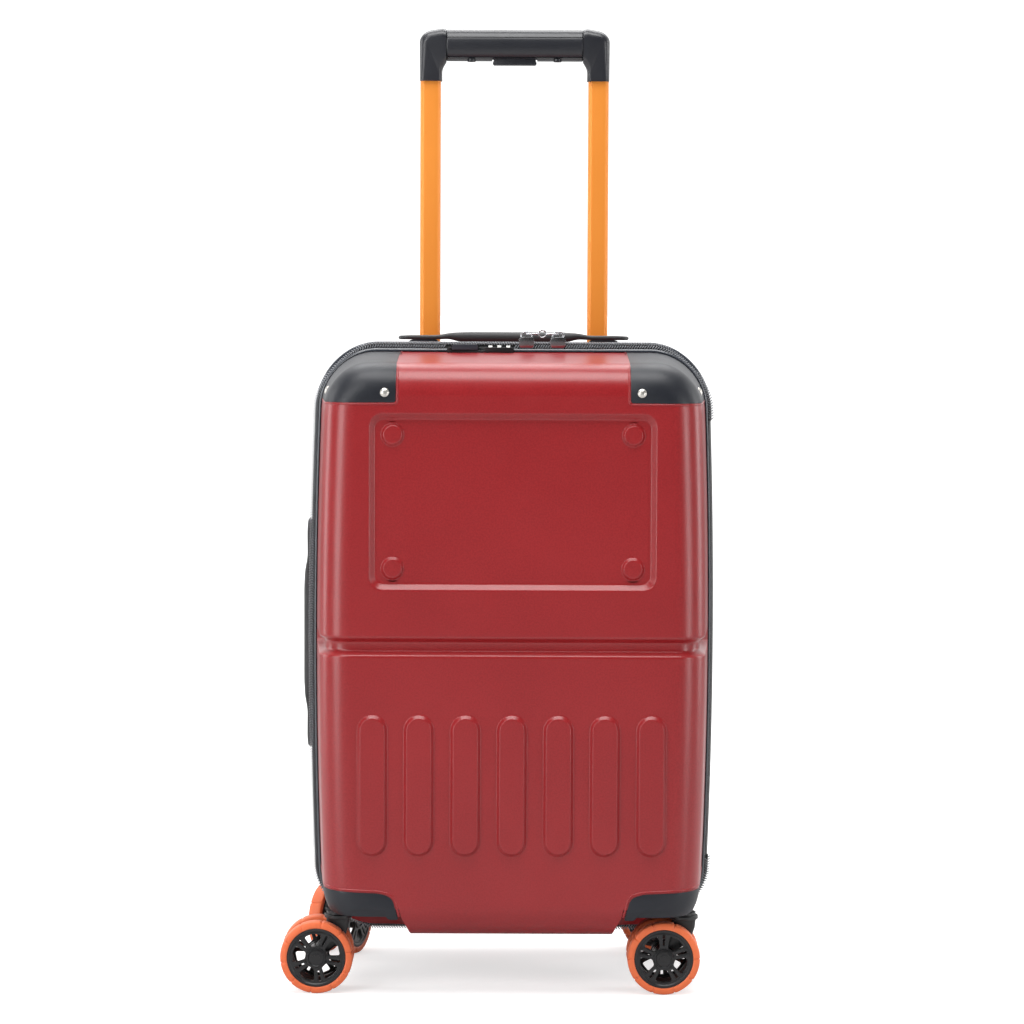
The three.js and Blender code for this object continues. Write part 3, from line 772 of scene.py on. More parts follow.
# ---- repeated small parts, by Geometry Nodes ---------------------------------------------------
def repeat_tree(name, size_label):
    """Instances one item on points that carry a turn, with its size and spread as named inputs."""
    tree = bpy.data.node_groups.new(name, "GeometryNodeTree")
    labels = {"points": ("Points", "Geometry"), "item": ("Item", "Object"), "size": (size_label, "Float"),
              "spread": ("Size Spread", "Float"), "seed": ("Seed", "Int"), "finish": ("Finish", "Material")}
    sockets = {key: tree.interface.new_socket(label, in_out="INPUT", socket_type=f"NodeSocket{kind}")
               for key, (label, kind) in labels.items()}
    tree.interface.new_socket("Geometry", in_out="OUTPUT", socket_type="NodeSocketGeometry")
    given = add_node(tree, "NodeGroupInput").outputs
    turn = add_node(tree, "GeometryNodeInputNamedAttribute", {"Name": "turn"}, data_type="FLOAT_VECTOR")
    rotation = add_node(tree, "FunctionNodeEulerToRotation", {"Euler": turn.outputs["Attribute"]})
    chance = add_node(tree, "FunctionNodeRandomValue", {"Seed": given["Seed"]})
    for end, operation in (("Min", "SUBTRACT"), ("Max", "ADD")):
        limit = add_node(tree, "ShaderNodeMath", {0: given[size_label], 1: given["Size Spread"]},
                         operation=operation)
        socket = next(s for s in chance.inputs if s.name == end and s.type == "VALUE" and s.enabled)
        tree.links.new(limit.outputs[0], socket)
    item = add_node(tree, "GeometryNodeObjectInfo", {"Object": given["Item"]})
    place = add_node(tree, "GeometryNodeInstanceOnPoints", {
        "Points": given["Points"], "Instance": item.outputs["Geometry"],
        "Rotation": rotation.outputs["Rotation"],
        "Scale": next(s for s in chance.outputs if s.type == "VALUE" and s.enabled)})
    realize = add_node(tree, "GeometryNodeRealizeInstances", {"Geometry": place.outputs["Instances"]})
    paint = add_node(tree, "GeometryNodeSetMaterial", {
        "Geometry": realize.outputs["Geometry"], "Material": given["Finish"]})
    add_node(tree, "NodeGroupOutput", {"Geometry": paint.outputs["Geometry"]})
    return tree, {key: socket.identifier for key, socket in sockets.items()}


def repeated(name, recipe, item, places, turns, size, spread, seed, material, body):
    tree, ids = recipe
    piece = mesh_object(name, places, [], material)
    attribute = piece.data.attributes.new("turn", "FLOAT_VECTOR", "POINT")
    attribute.data.foreach_set("vector", np.array(turns, dtype=np.float32).ravel())
    many = piece.modifiers.new("repeat", "NODES")
    many.node_group = tree
    for key, value in (("item", item), ("size", size), ("spread", spread), ("seed", seed), ("finish", material)):
        many[ids[key]] = value
    apply_modifiers(piece)
    if "turn" in piece.data.attributes:
        piece.data.attributes.remove(piece.data.attributes["turn"])
    if not piece.data.materials or piece.data.materials[0] is None:
        piece.data.materials.clear()
        piece.data.materials.append(material)
    tidy_mesh(piece, 0.0005)
    sharpen(piece, 60.0)
    return settle(piece, body)


def small_item(name, rings, material):
    """A little closed shape about its own origin, for instancing."""
    build = Build()
    made = [build.ring([(x - CENTRE_X, y, z) for x, y, z in r]) for r in rings]
    build.solid(made)
    return build.object(name, material)


def outline_walk(grow, top, pull, pitch):
    """Evenly spaced (x, z, normal angle) round the rim."""
    loop = np.array([(x, z) for x, z, _ in outline(grow, top, side_rows(24), 24, pull)])
    loop = np.vstack([loop, loop[:1]])
    gaps = np.hypot(*np.diff(loop, axis=0).T)
    run = np.concatenate([[0.0], np.cumsum(gaps)])
    count = int(run[-1] / pitch)
    stations = np.arange(count) * run[-1] / count
    x, z = np.interp(stations, run, loop[:, 0]), np.interp(stations, run, loop[:, 1])
    dx, dz = np.roll(x, -1) - np.roll(x, 1), np.roll(z, -1) - np.roll(z, 1)
    return [(a, b, math.atan2(c, -d)) for a, b, c, d in zip(x, z, dz, dx)]


TOOTH_PITCH, TOOTH_TILT = 2.15, math.radians(34.0)
coil_recipe = repeat_tree("zip_coil_teeth", "Tooth Size")
tooth = small_item("zip_tooth", [
    [(0.46 * r * math.cos(a), 0.95 * r * math.sin(a) - 0.25 * (1 - (h / 1.7) ** 2), h)
     for a in round_angles(6)]
    for h, r in ((-1.75, 0.35), (-1.45, 0.85), (-0.6, 1.0), (0.6, 1.0), (1.45, 0.85), (1.75, 0.35))], COIL_PAINTED_HIGHLIGHT)
for body, grow, top, pull, y, tilt in (("lid", 3.6, 0.5, 2.2, -4.2, TOOTH_TILT),
                                       ("base", 5.9, 1.0, 4.2, -0.5, -TOOTH_TILT)):
    spots = [(x, z, a) for x, z, a in outline_walk(grow, top, pull, TOOTH_PITCH)
             if not (x > 100.0 and 98.0 < z < 472.0) and not (body == "lid" and -58.0 < x < 1.0 and z > 500.0)]
    repeated(f"zip_coil_{body}", coil_recipe, tooth, [(x, y, z) for x, z, _ in spots],
             [(0.0, a + tilt, 0.0) for _, _, a in spots], 1.0, 0.02, 7, COIL_PAINTED_HIGHLIGHT, body)
bpy.data.objects.remove(tooth)

rivet_recipe = repeat_tree("guard_rivets", "Rivet Size")
rivet = small_item("rivet", [
    [(r * math.cos(a), r * math.sin(a), h) for a in round_angles(28)]
    for r, h in ((3.4, -0.8), (3.7, 0.25), (3.5, 0.55), (3.2, 0.62), (2.9, 1.0), (2.2, 1.45), (1.2, 1.75),
                 (0.4, 1.82))], NICKEL)
for kind, body in ((LID, "lid"), (BASE, "base")):
    places, turns = [], []
    for hand in (-1, 1):
        for origin, aim in (((hand * 104.5, kind["side"] * 200.0, 496.8), (0, -kind["side"], 0)),
                            ((hand * 250.0, kind["side"] * 60.0, 496.8), (-hand, 0, 0))):
            hit, normal, _, _ = envelope_trees[kind["side"]].ray_cast(
                metres(*origin), Vector(aim))
            spot = hit / MM + normal * 0.3
            places.append((spot.x - CENTRE_X, spot.y, spot.z))
            turns.append(tuple(normal.to_track_quat("Z", "Y").to_euler()))
    repeated(f"guard_rivets_{body}", rivet_recipe, rivet, places, turns, 1.0, 0.0, 3, NICKEL, body)
bpy.data.objects.remove(rivet)


# ---- rim trims and zip tapes -------------------------------------------------------------------
def rim_band(name, section, material, body, nodes, pull=0.0, openings=()):
    """A ring round the rim; section is its closed (y, grow, top) profile."""
    build = Build()
    knots = side_rows(20)
    rings = [build.ring([(x, y, z) for x, z, _ in outline(g, t, knots, 18, pull if g > 0.5 else 0.0)])
             for y, g, t in section]
    build.bands(rings)
    build.band(rings[-1], rings[0])
    piece = build.object(name, material)
    if openings:
        combine(piece, "DIFFERENCE", [block(*opening) for opening in openings])
    sharpen(piece, 40.0)
    return settle(piece, body, *nodes)


LID_TRIM = [(-9.5, 0.3, 0.0), (-9.5, 0.9, 0.3), (-9.0, 1.6, 0.6), (-8.2, 1.9, 0.7), (-5.2, 1.9, 0.7),
            (-4.4, 1.5, 0.6), (-3.75, 0.9, 0.3), (-3.75, -2.0, 0.0), (-3.95, -2.0, 0.0), (-3.95, 0.3, 0.0)]
BASE_TRIM = [(3.95, 3.3, 2.5), (3.95, -1.5, 1.0), (3.68, -1.5, 1.0), (3.68, 4.0, 2.9), (4.4, 4.6, 3.1),
             (5.2, 4.9, 3.2), (8.3, 4.9, 3.2), (9.1, 4.5, 3.0), (9.5, 3.9, 2.6), (9.5, 3.3, 2.5)]
LID_TAPE = [(-3.7, -2.0, 0.0), (-3.7, 3.0, 0.3), (-3.2, 3.5, 0.4), (-0.7, 3.5, 0.4), (-0.3, 3.0, 0.3),
            (-0.3, -2.0, 0.0)]
BASE_TAPE = [(0.3, -1.0, 1.0), (0.3, 4.9, 1.0), (0.7, 5.4, 1.0), (3.2, 5.4, 1.6), (3.6, 4.9, 1.9), (3.6, -1.0, 1.0)]
rim_band("lid_edge_trim", LID_TRIM, TRIM_GREY, "lid", ["lid_trim"], 0.6, [LOCK_OPENING])
rim_band("base_edge_trim", BASE_TRIM, TRIM_GREY, "base", ["base_trim"], 1.0)
rim_band("lid_zip_band", LID_TAPE, TAPE_BLACK, "lid", ["lid_zip_tape"], 2.2, [HINGE_OPENING])
rim_band("base_zip_band", BASE_TAPE, TAPE_BLACK, "base", ["base_zip_tape"], 4.0, [HINGE_OPENING])


# ---- textile hinge down the right-hand side -----------------------------------------------------
def hinge_tape():
    """A thin tape that bends between the shells; its cross-section runs lid to base."""
    build = Build()
    outer, inner = [], []
    for y in np.linspace(-3.9, 3.9, 17):
        share = (y + 3.9) / 7.8
        grow = 2.6 + 2.2 * share + 0.5 * math.sin(math.pi * share)
        outer.append((y, grow))
        inner.append((y, grow - 0.9))
    section = outer + inner[::-1]
    heights = np.concatenate([[100.2, 100.8], np.linspace(102.0, 468.0, 60), [469.2, 469.8]])
    half_h, mid = 250.0, 287.0
    rings = []
    for z in heights:
        pinch = 0.25 if z in (heights[0], heights[-1]) else 0.0
        rings.append(build.ring([((HALF_WIDTH + g - pinch) * (1 - BARREL * ((z - mid) / half_h) ** 2), y, z)
                                 for y, g in section]))
    build.solid(rings)
    tape = build.object("hinge_tape_woven", TAPE_BLACK, merge=0.001)
    sharpen(tape, 50.0)
    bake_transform(tape)
    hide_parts("lid_hinge_tape", "base_hinge_tape")


hinge_tape()


# ---- lining ---------------------------------------------------------------------------------------
LINING_CURVE, LINING_RIM = 22.0, RIM_START + 0.6


def lining(name, kind, body, floor_y, inset=8.6):
    """The fabric skin inside one shell, stepped round its caster pockets."""
    knots = side_rows(16)
    edge = kind["grow"] - (floor_y - LINING_CURVE) * DRAFT
    rows = [(LINING_RIM, kind["grow"] - 2.8), (RIM_START + 2.0, kind["grow"] - inset + 1.5)]
    rows += [(y, kind["grow"] - y * DRAFT - inset) for y in np.linspace(10.0, floor_y - LINING_CURVE, 6)]
    rows += [(floor_y - LINING_CURVE * (1 - math.sin(a)), edge - inset - LINING_CURVE * (1 - math.cos(a)))
             for a in np.linspace(0.2, math.pi / 2, 8)]
    build = Build()
    rings = [section_ring(build, kind, y, grow, knots) for y, grow in rows]
    build.solid(rings)
    piece = build.object(name, LINING_GREY)
    tools = []
    for _, x, y in corner_places(kind):
        shapes = [[(px, py, z) for px, py in rounded_rect(POCKET_R + o, POCKET_R + o, POCKET_CORNER, 8, x, y)]
                  for z, o in ((10.0, 19.0), (40.0, 18.0), (60.0, 9.0), (78.5, 5.0))]
        tools.append(solid_tool("pocket", shapes))
    combine(piece, "DIFFERENCE", tools)
    with opened(piece) as made:
        open_rim(made, LINING_RIM)
        bmesh.ops.reverse_faces(made, faces=made.faces)
        area = sum(f.calc_area() for f in made.faces)
    sharpen(piece, 50.0)
    settle(piece, body)


lining("lid_lining", LID, "lid", 100.0)
lining("base_lining", BASE, "base", 74.0)


# ---- casters -----------------------------------------------------------------------------------
def about_swivel(corner):
    sx, sy, turn = CORNERS[corner]
    c, s = math.cos(math.radians(turn)), math.sin(math.radians(turn))
    return lambda u, v, z: (sx + u * c - v * s, sy + u * s + v * c, z)


# height, rearward shift and half sizes of the fork's sections
FORK_SECTIONS = ((63.5, 0.0, 9.4, 6.6), (61.0, 0.0, 9.6, 6.7), (54.0, -0.6, 9.4, 6.6), (48.0, -2.2, 9.0, 6.4),
                 (42.5, -5.6, 8.8, 6.3), (38.0, -9.6, 8.6, 6.2), (34.0, -13.6, 7.6, 6.2), (30.5, -16.5, 5.6, 6.1))
HUB_RING = ((21.0, -5.2), (24.3, -5.2), (24.3, 5.2), (23.9, 5.6), (22.2, 5.6), (21.4, 4.9))
HUB_CAP = ((8.4, -5.6), (8.4, 4.9), (7.9, 5.9), (6.9, 6.1), (6.5, 5.7), (6.2, 5.2), (3.0, 5.5), (0.3, 5.6))
TYRE_PROFILE = ((24.35, -5.4), (26.2, -5.8), (28.2, -5.6), (29.3, -5.0), (29.9, -3.6), (30.0, -1.6), (30.0, 1.6),
                (29.9, 3.6), (29.3, 5.0), (28.2, 5.6), (26.2, 5.8), (24.9, 5.75), (24.35, 5.3))


def caster_fork(corner):
    place = about_swivel(corner)
    build = Build()
    rings = []
    for z, u, hu, hv in FORK_SECTIONS:
        rings.append(build.ring([place(u + a, b, z) for a, b in rounded_rect(hu, hv, 3.0, 5)]))
    build.solid(rings)

    def round_part(profile, axle, steps):
        spot = ((lambda a, b, h: place(a - TRAIL, h, WHEEL_R + b)) if axle else (lambda a, b, h: place(a, b, h)))
        made = build.lathe(profile, spot, steps)
        build.fill(made[0])
        build.fill(made[-1])

    round_part([(7.2, -6.6), (8.0, -6.0), (8.0, 6.0), (7.2, 6.6)], True, 36)
    round_part([(2.9, -18.6), (2.9, 18.6)], True, 20)
    round_part([(10.9, 60.6), (11.6, 61.2), (11.6, 63.4), (10.9, 64.0)], False, 40)
    round_part([(9.6, 64.0), (9.6, 66.4)], False, 32)
    piece = build.object(f"caster_fork_{corner}", CASTER_BLACK, merge=0.001)
    sharpen(piece, 40.0)
    settle(piece, f"swivel_{corner}", f"caster_{corner}_fork")


def wheel_openings(start):
    """Five rounded windows and five narrow slots, as (a, b) loops."""
    loops = []
    for i in range(5):
        mid = start + math.radians(36.0 + 72.0 * i)
        corners = [(9.6, -0.30), (19.6, -0.385), (20.2, 0.0), (19.6, 0.385), (9.6, 0.30)]
        points = [(r * math.cos(mid + t), r * math.sin(mid + t)) for r, t in corners]
        loops.append(curve_through(points, (1.6, 2.4, 0, 2.4, 1.6), 5))
        slot = start + math.radians(72.0 * i)
        along, across = (math.cos(slot), math.sin(slot)), (-math.sin(slot), math.cos(slot))
        points = [(along[0] * r + across[0] * w, along[1] * r + across[1] * w)
                  for r, w in ((11.0, -0.75), (20.0, -1.15), (20.0, 1.15), (11.0, 0.75))]
        loops.append(curve_through(points, (0.6, 0.8, 0.8, 0.6), 3))
    return loops


def wheel_disc(corner, disc, start):
    place = about_swivel(corner)
    side = -1 if disc == "a" else 1

    def spot(a, b, h):
        return place(a - TRAIL, side * (DISC_GAP + h), WHEEL_R + b)

    build = Build()
    circle = [(23.6 * math.cos(a), 23.6 * math.sin(a)) for a in round_angles(72)]
    loops = [circle, *wheel_openings(start)]
    sheets = [[build.ring([spot(a, b, h) for a, b in loop]) for loop in loops] for h in (2.4, 4.9)]
    for near, far in zip(*sheets):
        build.band(near, far)
    build.fill(sheets[0][0], sheets[0][1:])
    build.fill(sheets[1][0], sheets[1][1:])
    plate = build.object(f"wheel_hub_{corner}_{disc}", CASTER_BLACK, merge=0.001)
    bevelled(plate, 0.4, 2, 45.0)
    rest = Build()
    ring = rest.lathe(HUB_RING, spot, 72)
    rest.band(ring[-1], ring[0])
    cap = rest.lathe(HUB_CAP, spot, 40)
    rest.fill(cap[0])
    rest.fill(cap[-1])
    more = rest.object("wheel_rest", CASTER_BLACK, merge=0.001)
    sharpen(more, 40.0)
    join(plate, more)
    settle(plate, f"wheel_{corner}_{disc}", f"caster_{corner}_hub_{disc}")

    def tread(a, radius, h):
        turn = (math.degrees(a - start) + 18.0) % 36.0
        near = min(turn, 36.0 - turn)
        dent = 0.8 if near < 1.3 and radius > 25.8 else 0.0
        return radius - (dent if radius > 29.0 else 0.0), h - (dent if h > 4.9 else 0.0)

    tyre = Build()
    rings = tyre.lathe(TYRE_PROFILE, spot, 160, shape=tread)
    tyre.band(rings[-1], rings[0])
    piece = tyre.object(f"wheel_tyre_{corner}_{disc}", TYRE_ORANGE, merge=0.001)
    sharpen(piece, 38.0)
    settle(piece, f"wheel_{corner}_{disc}", f"caster_{corner}_tyre_{disc}")


def join(piece, other):
    """Moves other's mesh into piece."""
    made = bmesh.new()
    made.from_mesh(piece.data)
    made.from_mesh(other.data)
    made.to_mesh(piece.data)
    made.free()
    bpy.data.objects.remove(other)
    return piece


WHEEL_START = {"front_left": 63.0, "front_right": 90.0, "rear_left": 20.0, "rear_right": 48.0}
for corner in CORNERS:
    caster_fork(corner)
    for disc, offset in (("a", 0.0), ("b", 36.0)):
        wheel_disc(corner, disc, math.radians(WHEEL_START[corner] + offset))


# ---- trolley -------------------------------------------------------------------------------------
ELBOW_FOOT, ELBOW_JOINT = 763.5, -60.6


def elbow_piece(hand, side):
    """Joins tube and grip: a soft-edged outline, thicker at the head than at the leg."""
    shape = curve_through([(-82.2, 761.0), (-63.0, 761.0), (-63.1, 771.5), (-59.4, 777.6), (-59.4, 805.4),
                           (-62.5, 806.4), (-76.5, 804.0), (-82.6, 798.0)],
                          (0.6, 0.6, 4.0, 0.5, 0.5, 2.0, 6.0, 5.0), 6)
    n = len(shape)
    build = Build()
    rings = []
    steps = 6
    for s in [-1] * (steps + 1) + [1] * (steps + 1):
        k = steps - (len(rings) if s < 0 else 2 * steps + 1 - len(rings))
        a = math.pi / 2 * k / steps
        loop = []
        for i, (x, z) in enumerate(shape):
            share = min(1.0, max(0.0, (z - 766.0) / 14.0))
            share = share * share * (3 - 2 * share)
            radius, half = 3.6 + 4.6 * share, 8.3 + 3.5 * share
            (px, pz), (qx, qz) = shape[i - 1], shape[(i + 1) % n]
            nx, nz = qz - pz, px - qx
            size = math.hypot(nx, nz)
            nx, nz = nx / size, nz / size
            if z < ELBOW_FOOT:
                nx, nz = math.copysign(1.0, x + TROLLEY_X), 0.0
            if x > ELBOW_JOINT:
                nx, nz = 0.0, math.copysign(1.0, z - GRIP_Z)
            inset = radius * (1 - math.cos(a)) * (0.8 if z > ELBOW_FOOT else 1.0)
            loop.append((-hand * (x - nx * inset),
                         TROLLEY_Y + s * (half - radius * (1 - math.sin(a))), z - nz * inset))
        rings.append(build.ring(loop))
    build.solid(rings)
    piece = build.object(f"trolley_elbow_{side}_moulded", GRIP_BLACK, merge=0.001)
    sharpen(piece, 40.0)
    settle(piece, "trolley_upper", f"trolley_elbow_{side}")


for hand, side in ((-1, "left"), (1, "right")):
    build = Build()
    rings = [build.ring([(x, y, z) for x, y in rounded_rect(8.9 - inset, 5.9 - inset, 3.9 - inset, 8,
                                                            hand * TROLLEY_X, TROLLEY_Y)])
             for inset, z in ((0.0, 400.0), (0.0, 788.0), (1.1, 788.0), (1.1, 400.0))]
    build.bands(rings)
    build.band(rings[-1], rings[0])
    piece = build.object(f"trolley_tube_{side}", TUBE_ORANGE)
    sharpen(piece, 40.0)
    settle(piece, "trolley_upper", f"trolley_tube_upper_{side}")

    elbow_piece(hand, side)


def grip_section():
    """(y, z) round the grip, with a fine parting groove low and high on each side."""
    points = []
    for a in round_angles(56):
        c, s = math.cos(a), math.sin(a)
        points.append((TROLLEY_Y + GRIP_HALF_Y * math.copysign(abs(c) ** GRIP_SQUARENESS, c),
                       GRIP_Z + GRIP_HALF_Z * math.copysign(abs(s) ** GRIP_SQUARENESS, s)))
    out = []
    for a, b in zip(points, points[1:] + points[:1]):
        out.append(a)
        for level in (798.4, 781.4):
            if (a[1] - level) * (b[1] - level) < 0:
                t = (level - a[1]) / (b[1] - a[1])
                y = a[0] + (b[0] - a[0]) * t
                step = math.copysign(0.34, b[1] - a[1])
                inward = -math.copysign(0.7, y - TROLLEY_Y)
                out += [(y, level - step), (y + inward, level - step * 0.55),
                        (y + inward, level + step * 0.55), (y, level + step)]
    return out


build = Build()
section = grip_section()
GRIP_ENDS = ((59.3, 0.90), (59.2, 0.965), (58.6, 0.995), (57.6, 1.0))
rings = [build.ring([(x, TROLLEY_Y + (y - TROLLEY_Y) * scale, GRIP_Z + (z - GRIP_Z) * scale)
                     for y, z in section])
         for x, scale in [(-x, scale) for x, scale in GRIP_ENDS] + list(reversed(GRIP_ENDS))]
build.solid(rings)
grip = build.object("trolley_grip_moulded", GRIP_BLACK, merge=0.001)
combine(grip, "DIFFERENCE", [block(-19.6, 19.6, 83.4, 96.6, 760.0, 790.4)])
sharpen(grip, 30.0)
settle(grip, "trolley_upper", "trolley_grip")

half = [(-18.0, 785.4), (-18.2, 778.6), (-19.2, 776.4), (-18.2, 775.0)]
shape = curve_through(half + [(-x, z) for x, z in reversed(half)], (0, 1.0, 0.8, 0.8, 0.8, 0.8, 1.0, 0), 4)
button = silhouette_bar(shape, 84.2, 95.8, "trolley_button_moulded", GRIP_BLACK)
bevelled(button, 0.5, 3, 40.0)
settle(button, "trolley_button", "trolley_button")

for x in (-37.5, 37.2):
    build = Build()
    rings = build.lathe([(3.6, 780.2), (3.6, 778.0), (3.2, 777.6), (2.4, 777.6), (2.2, 778.4), (0.4, 778.4)],
                        lambda a, b, h: (x + a, TROLLEY_Y - 4.0 + b, h), 28)
    build.fill(rings[0])
    build.fill(rings[-1])
    screw = build.object(f"grip_screw_{'left' if x < 0 else 'right'}", GRIP_BLACK, merge=0.001)
    sharpen(screw, 40.0)
    settle(screw, "trolley_upper")


# ---- carry handles ---------------------------------------------------------------------------------
STRAP_TOP = ((98.5, 8.2), (88.0, 8.8), (66.0, 8.6), (54.0, 10.8), (40.0, 11.6), (0.0, 11.6))
MOUNT_HALF = [(96.0, 0.0), (95.0, 0.9), (91.0, 1.3), (89.0, 4.2), (86.5, 5.0), (66.5, 5.0), (65.0, 4.2),
              (63.4, 1.3), (50.0, 1.2)]
STRAP_UNDER = ((98.5, 5.1), (64.0, 5.2), (54.0, 5.6), (47.5, 3.4), (40.0, 2.6), (0.0, 2.2))


def smooth_curve(points, stations, reach=3.5):
    xs, ys = zip(*sorted(points))
    spread = np.linspace(-reach, reach, 9)
    return [float(np.mean(np.interp(np.abs(np.abs(u) + spread), xs, ys))) for u in stations]


def carry_handle(where, place):
    stations = np.concatenate([[-98.5, -98.3, -97.8], np.linspace(-97.0, 97.0, 120), [97.8, 98.3, 98.5]])
    top, under = smooth_curve(STRAP_TOP, stations), smooth_curve(STRAP_UNDER, stations)
    build = Build()
    rings = []
    for u, high, low in zip(stations, top, under):
        over = max(0.0, abs(u) - 89.5) / 9.0
        half = (8.8 + 1.2 * min(1.0, max(0.0, (62.0 - abs(u)) / 12.0))) * math.sqrt(max(0.02, 1 - over * over))
        thin = (high - low) / 2 * (0.45 + 0.55 * min(1.0, (98.6 - abs(u)) / 1.2))
        rings.append(build.ring([place(u, (high + low) / 2 + b, a)
                                 for a, b in rounded_rect(half, thin, min(thin * 0.92, half * 0.6), 5)]))
    build.solid(rings)
    strap = build.object(f"{where}_carry_strap", STRAP_BLACK, merge=0.001)
    sharpen(strap, 45.0)
    settle(strap, f"{where}_handle", f"{where}_handle")

    radii = (0.3, 0.4, 1.2, 1.0, 0.8, 0.8, 0.6, 1.2, 0)
    shape = curve_through(MOUNT_HALF + [(-u, v) for u, v in reversed(MOUNT_HALF)], radii + radii[::-1], 3)
    build = Build()
    rings = [build.ring([place(u, v, w) for u, v in shape]) for w in (-7.8, 7.8)]
    build.solid(rings)
    mount = build.object(f"{where}_carry_mount", GUARD_BLACK, merge=0.001)
    bevelled(mount, 0.5, 2, 50.0)
    settle(mount, "base", f"{where}_handle_mount")


carry_handle("top", lambda u, v, w: (u, STRAP_Y + w, TOP_SEAT + v))
carry_handle("side", lambda u, v, w: (-SIDE_SEAT - v, STRAP_Y + w, SIDE_Z + u))


# ---- zip sliders and pulls ---------------------------------------------------------------------------
def wire(name, points, radius, body=None, nodes=(), up=(0.0, 1.0, 0.02), closed=False):
    piece = sweep(name, [metres(*p) for p in points], [up] * len(points), radius, CHROME, None, 10, closed)
    return settle(piece, body, *nodes) if body else piece


SLIDER_X = {"left": 11.0, "right": 37.5}
for side, cx in SLIDER_X.items():
    hand = 1 if side == "left" else -1
    shape = curve_through([(cx - 6.4, 533.0), (cx - 6.6, 537.4), (cx - 5.6, 540.4), (cx + 5.6, 540.4),
                           (cx + 6.6, 537.4), (cx + 6.4, 533.0), (cx + 3.6, 530.6), (cx - 3.6, 530.6)],
                          (0.8, 1.0, 1.2, 1.2, 1.0, 0.8, 1.0, 1.0), 4)
    body_plate = silhouette_bar(shape, -5.6, 4.2, f"zip_slider_{side}_body", CHROME)
    combine(body_plate, "DIFFERENCE", [block(cx - 8.0, cx + 8.0, -4.2, 2.6, 529.0, 537.0)])
    bevelled(body_plate, 0.5, 2, 45.0)
    arch = [(cx + 4.6 * math.cos(a), -0.4, 541.0 + 3.9 * math.sin(a)) for a in np.linspace(math.pi, 0, 19)]
    bridge = wire("bridge", [(cx - 4.6, -0.4, 540.2), *arch, (cx + 4.6, -0.4, 540.2)], 0.85)
    join(body_plate, bridge)
    settle(body_plate, f"slider_{side}", f"zip_slider_{side}")
    loop = [(cx + hand * (4.9 + 6.0 * math.cos(t)), 2.3 * math.sin(t) - 0.2, 543.1 + 0.15 * math.sin(2 * t))
            for t in round_angles(44)]
    wire(f"zip_pull_{side}_loop", loop, 0.75, f"pull_{side}", [f"zip_pull_{side}"], (0.0, 0.05, 1.0), True)
ring = [(24.2 + 3.1 * math.cos(t), -0.2, 543.0 + 3.1 * math.sin(t)) for t in round_angles(40)]
wire("zip_pull_ring", ring, 0.7, "pull_left", closed=True)


# ---- combination lock ------------------------------------------------------------------------------------
frame_shape = curve_through([(-56.0, 519.4), (-56.0, 530.4), (-54.6, 531.8), (-1.4, 531.8), (0.0, 530.4),
                             (0.0, 519.4)], (0, 1.2, 1.2, 1.2, 1.2, 0), 3)
lock = silhouette_bar(frame_shape, -13.4, -4.4, "lock_body_moulded", CASTER_BLACK)
combine(lock, "DIFFERENCE", [block(-52.6, -24.4, -15.0, -6.6, 529.2, 534.0),
                             *[block(x - 2.0, x + 2.0, -13.2, -5.2, 525.6, 534.0) for x in (-19.5, -12.0, -4.5)]])
bevelled(lock, 0.25, 2, 50.0)
settle(lock, "lid", "lock_body")
pill_shape = curve_through([(-52.0, 529.7), (-52.0, 534.1), (-30.0, 534.1), (-30.0, 529.7)], (0.8, 1.9, 1.9, 0.8), 5)
pill = silhouette_bar(pill_shape, -14.1, -7.1, "lock_slide_moulded", TRIM_GREY)
bevelled(pill, 0.7, 3, 45.0)
settle(pill, "lock_slide", "lock_slide")

# ---- carried-over solids --------------------------------------------------------------------
CARRIED = {"edge_trim": TRIM_GREY, "zip_tape": TAPE_BLACK, "black_plastic": GUARD_BLACK, "tyre": TYRE_ORANGE,
           "trolley_tube": TUBE_ORANGE, "inner_tube": TUBE_PLAIN, "metal": CHROME, "soft_grip": GRIP_BLACK,
           "dial": DIAL_PALE, "shell": SHELL_RED}
slot_of = {s["node"]: s["material_slot"] for s in frame["record"]["subparts"]}
for node, solid in frame["nodes"].items():
    for material_slot in solid.material_slots:
        material_slot.material = CARRIED[slot_of[node]]

# ---- floor, light and camera --------------------------------------------------------------
world = bpy.context.scene.world or bpy.data.worlds.new("studio")
bpy.context.scene.world = world
world.use_nodes = True
sky = world.node_tree
direction = add_node(sky, "ShaderNodeTexCoord").outputs["Generated"]
depth = add_node(sky, "ShaderNodeSeparateXYZ", {"Vector": direction}).outputs["Y"]
backdrop = add_node(sky, "ShaderNodeMapRange", {
    "Value": depth, "From Min": -0.2, "From Max": 0.6, "To Min": 0.03, "To Max": 1.25}).outputs["Result"]
seen = add_node(sky, "ShaderNodeLightPath").outputs["Is Camera Ray"]
strength = add_node(sky, "ShaderNodeMath", {0: seen, 1: backdrop}, operation="MAXIMUM").outputs[0]
background = sky.nodes["Background"]
sky.links.new(strength, background.inputs["Strength"])
background.inputs["Color"].default_value = (1.0, 1.0, 1.0, 1.0)

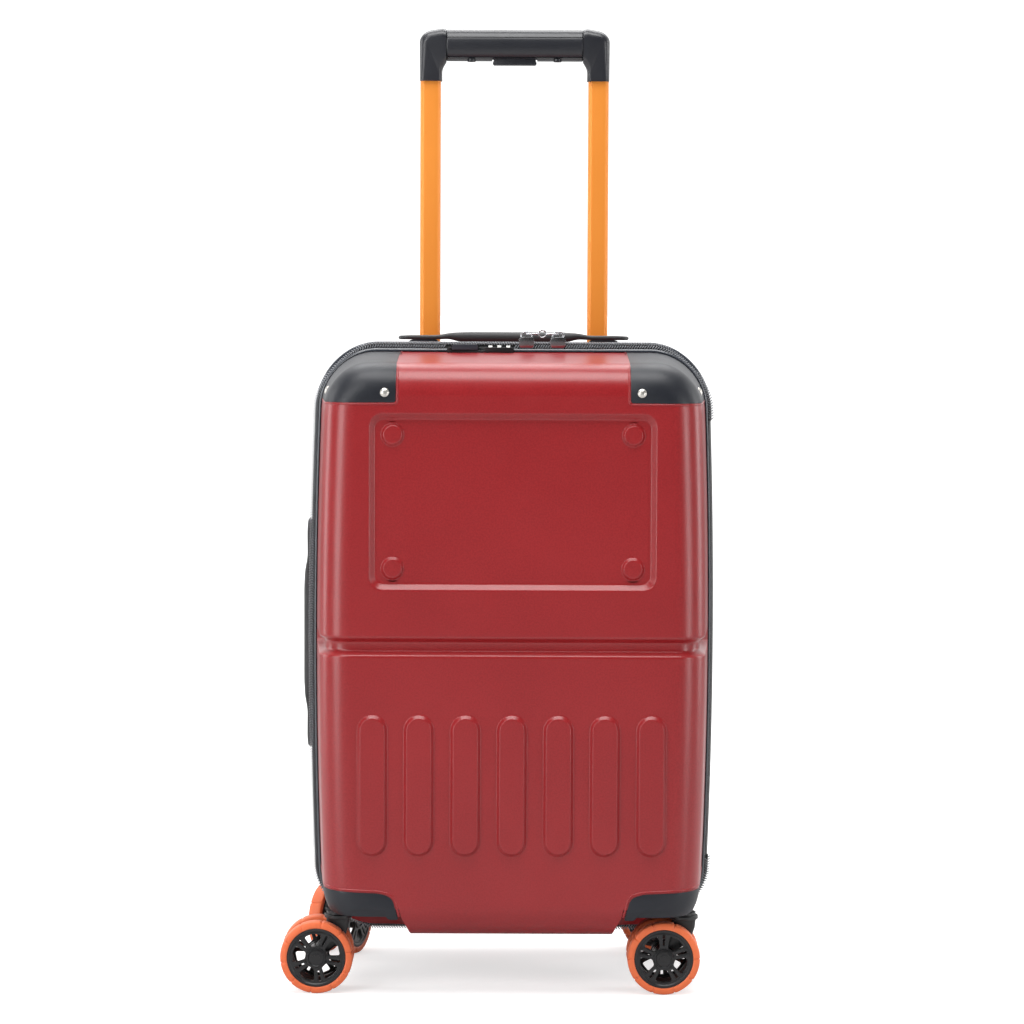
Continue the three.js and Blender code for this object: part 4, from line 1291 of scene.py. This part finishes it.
floor_finish = Finish("studio_floor", Roughness=0.9, Emission_Color=(1, 1, 1, 1))
floor_finish.colour(floor_finish.ramp(floor_finish.noise(1.5), [(0.3, (0.54,) * 3), (0.7, (0.56,) * 3)]))
seen = floor_finish.node("ShaderNodeLightPath").outputs["Is Camera Ray"]
away = floor_finish.node("ShaderNodeVectorMath", {0: floor_finish.coordinates}, operation="LENGTH").outputs["Value"]
glow = floor_finish.node("ShaderNodeMapRange", {"Value": away, "From Min": 0.6, "From Max": 2.4, "To Min": 0.6,
                                                "To Max": 1.05}).outputs["Result"]
lift = floor_finish.node("ShaderNodeMath", {0: seen, 1: glow}, operation="MULTIPLY").outputs[0]
floor_finish.tree.links.new(lift, floor_finish.shader.inputs["Emission Strength"])
floor_points = [(-30000, -30000, 0), (30000, -30000, 0), (30000, 60000, 0), (-30000, 60000, 0)]
floor = mesh_object("studio_floor", floor_points, [(0, 1, 2, 3)], floor_finish.material, smooth=False)


def area_light(name, place, target, size, power, size_y):
    data = bpy.data.lights.new(name, "AREA")
    data.energy = power
    data.size = size
    data.shape = "RECTANGLE"
    data.size_y = size_y
    lamp = bpy.data.objects.new(name, data)
    bpy.context.scene.collection.objects.link(lamp)
    lamp.location = place
    lamp.rotation_euler = (Vector(target) - Vector(place)).to_track_quat("-Z", "Y").to_euler()


MIDDLE = (CENTRE_X * MM, 0.0, 0.40)
FRONT_MIDDLE_LEFT, FRONT_MIDDLE_RIGHT = (-0.05, -0.1, 0.38), (0.07, -0.1, 0.38)
for lamp in (("overhead", (-0.1, -0.6, 2.2), MIDDLE, 1.8, 44.0, 1.0),
             ("overhead_rear", (0.0, 0.9, 2.0), MIDDLE, 1.8, 24.0, 0.9),
             ("key_left", (-1.5, -2.5, 2.0), MIDDLE, 1.0, 28.0, 1.2),
             ("left_strip", (-1.55, -1.25, 0.55), FRONT_MIDDLE_LEFT, 0.62, 17.0, 1.3),
             ("right_strip", (1.65, -1.15, 0.50), FRONT_MIDDLE_RIGHT, 0.5, 12.0, 1.2),
             ("left_edge", (-2.0, 0.5, 0.75), MIDDLE, 0.5, 12.0, 1.5),
             ("right_edge", (2.0, 0.5, 0.75), MIDDLE, 0.5, 12.0, 1.5)):
    area_light(*lamp)


SENSOR, LENS = 36.0, 110.190234375
PITCH, ROLL = math.radians(-3.4), math.radians(0.24)
scene = bpy.context.scene
scene.view_settings.view_transform = "Standard"
camera_data = bpy.data.cameras.new("studio_camera")
camera_data.sensor_width = SENSOR
camera_data.lens = LENS
camera_data.shift_x = -0.0010
camera_data.shift_y = -0.0378
camera_data.clip_end = 100.0
camera = bpy.data.objects.new("studio_camera", camera_data)
scene.collection.objects.link(camera)
camera.matrix_world = (Matrix.Translation((CENTRE_X * MM, -2.6527, 0.5825))
                       @ Matrix.Rotation(math.radians(90.0) + PITCH, 4, "X") @ Matrix.Rotation(ROLL, 4, "Z"))
scene.camera = camera
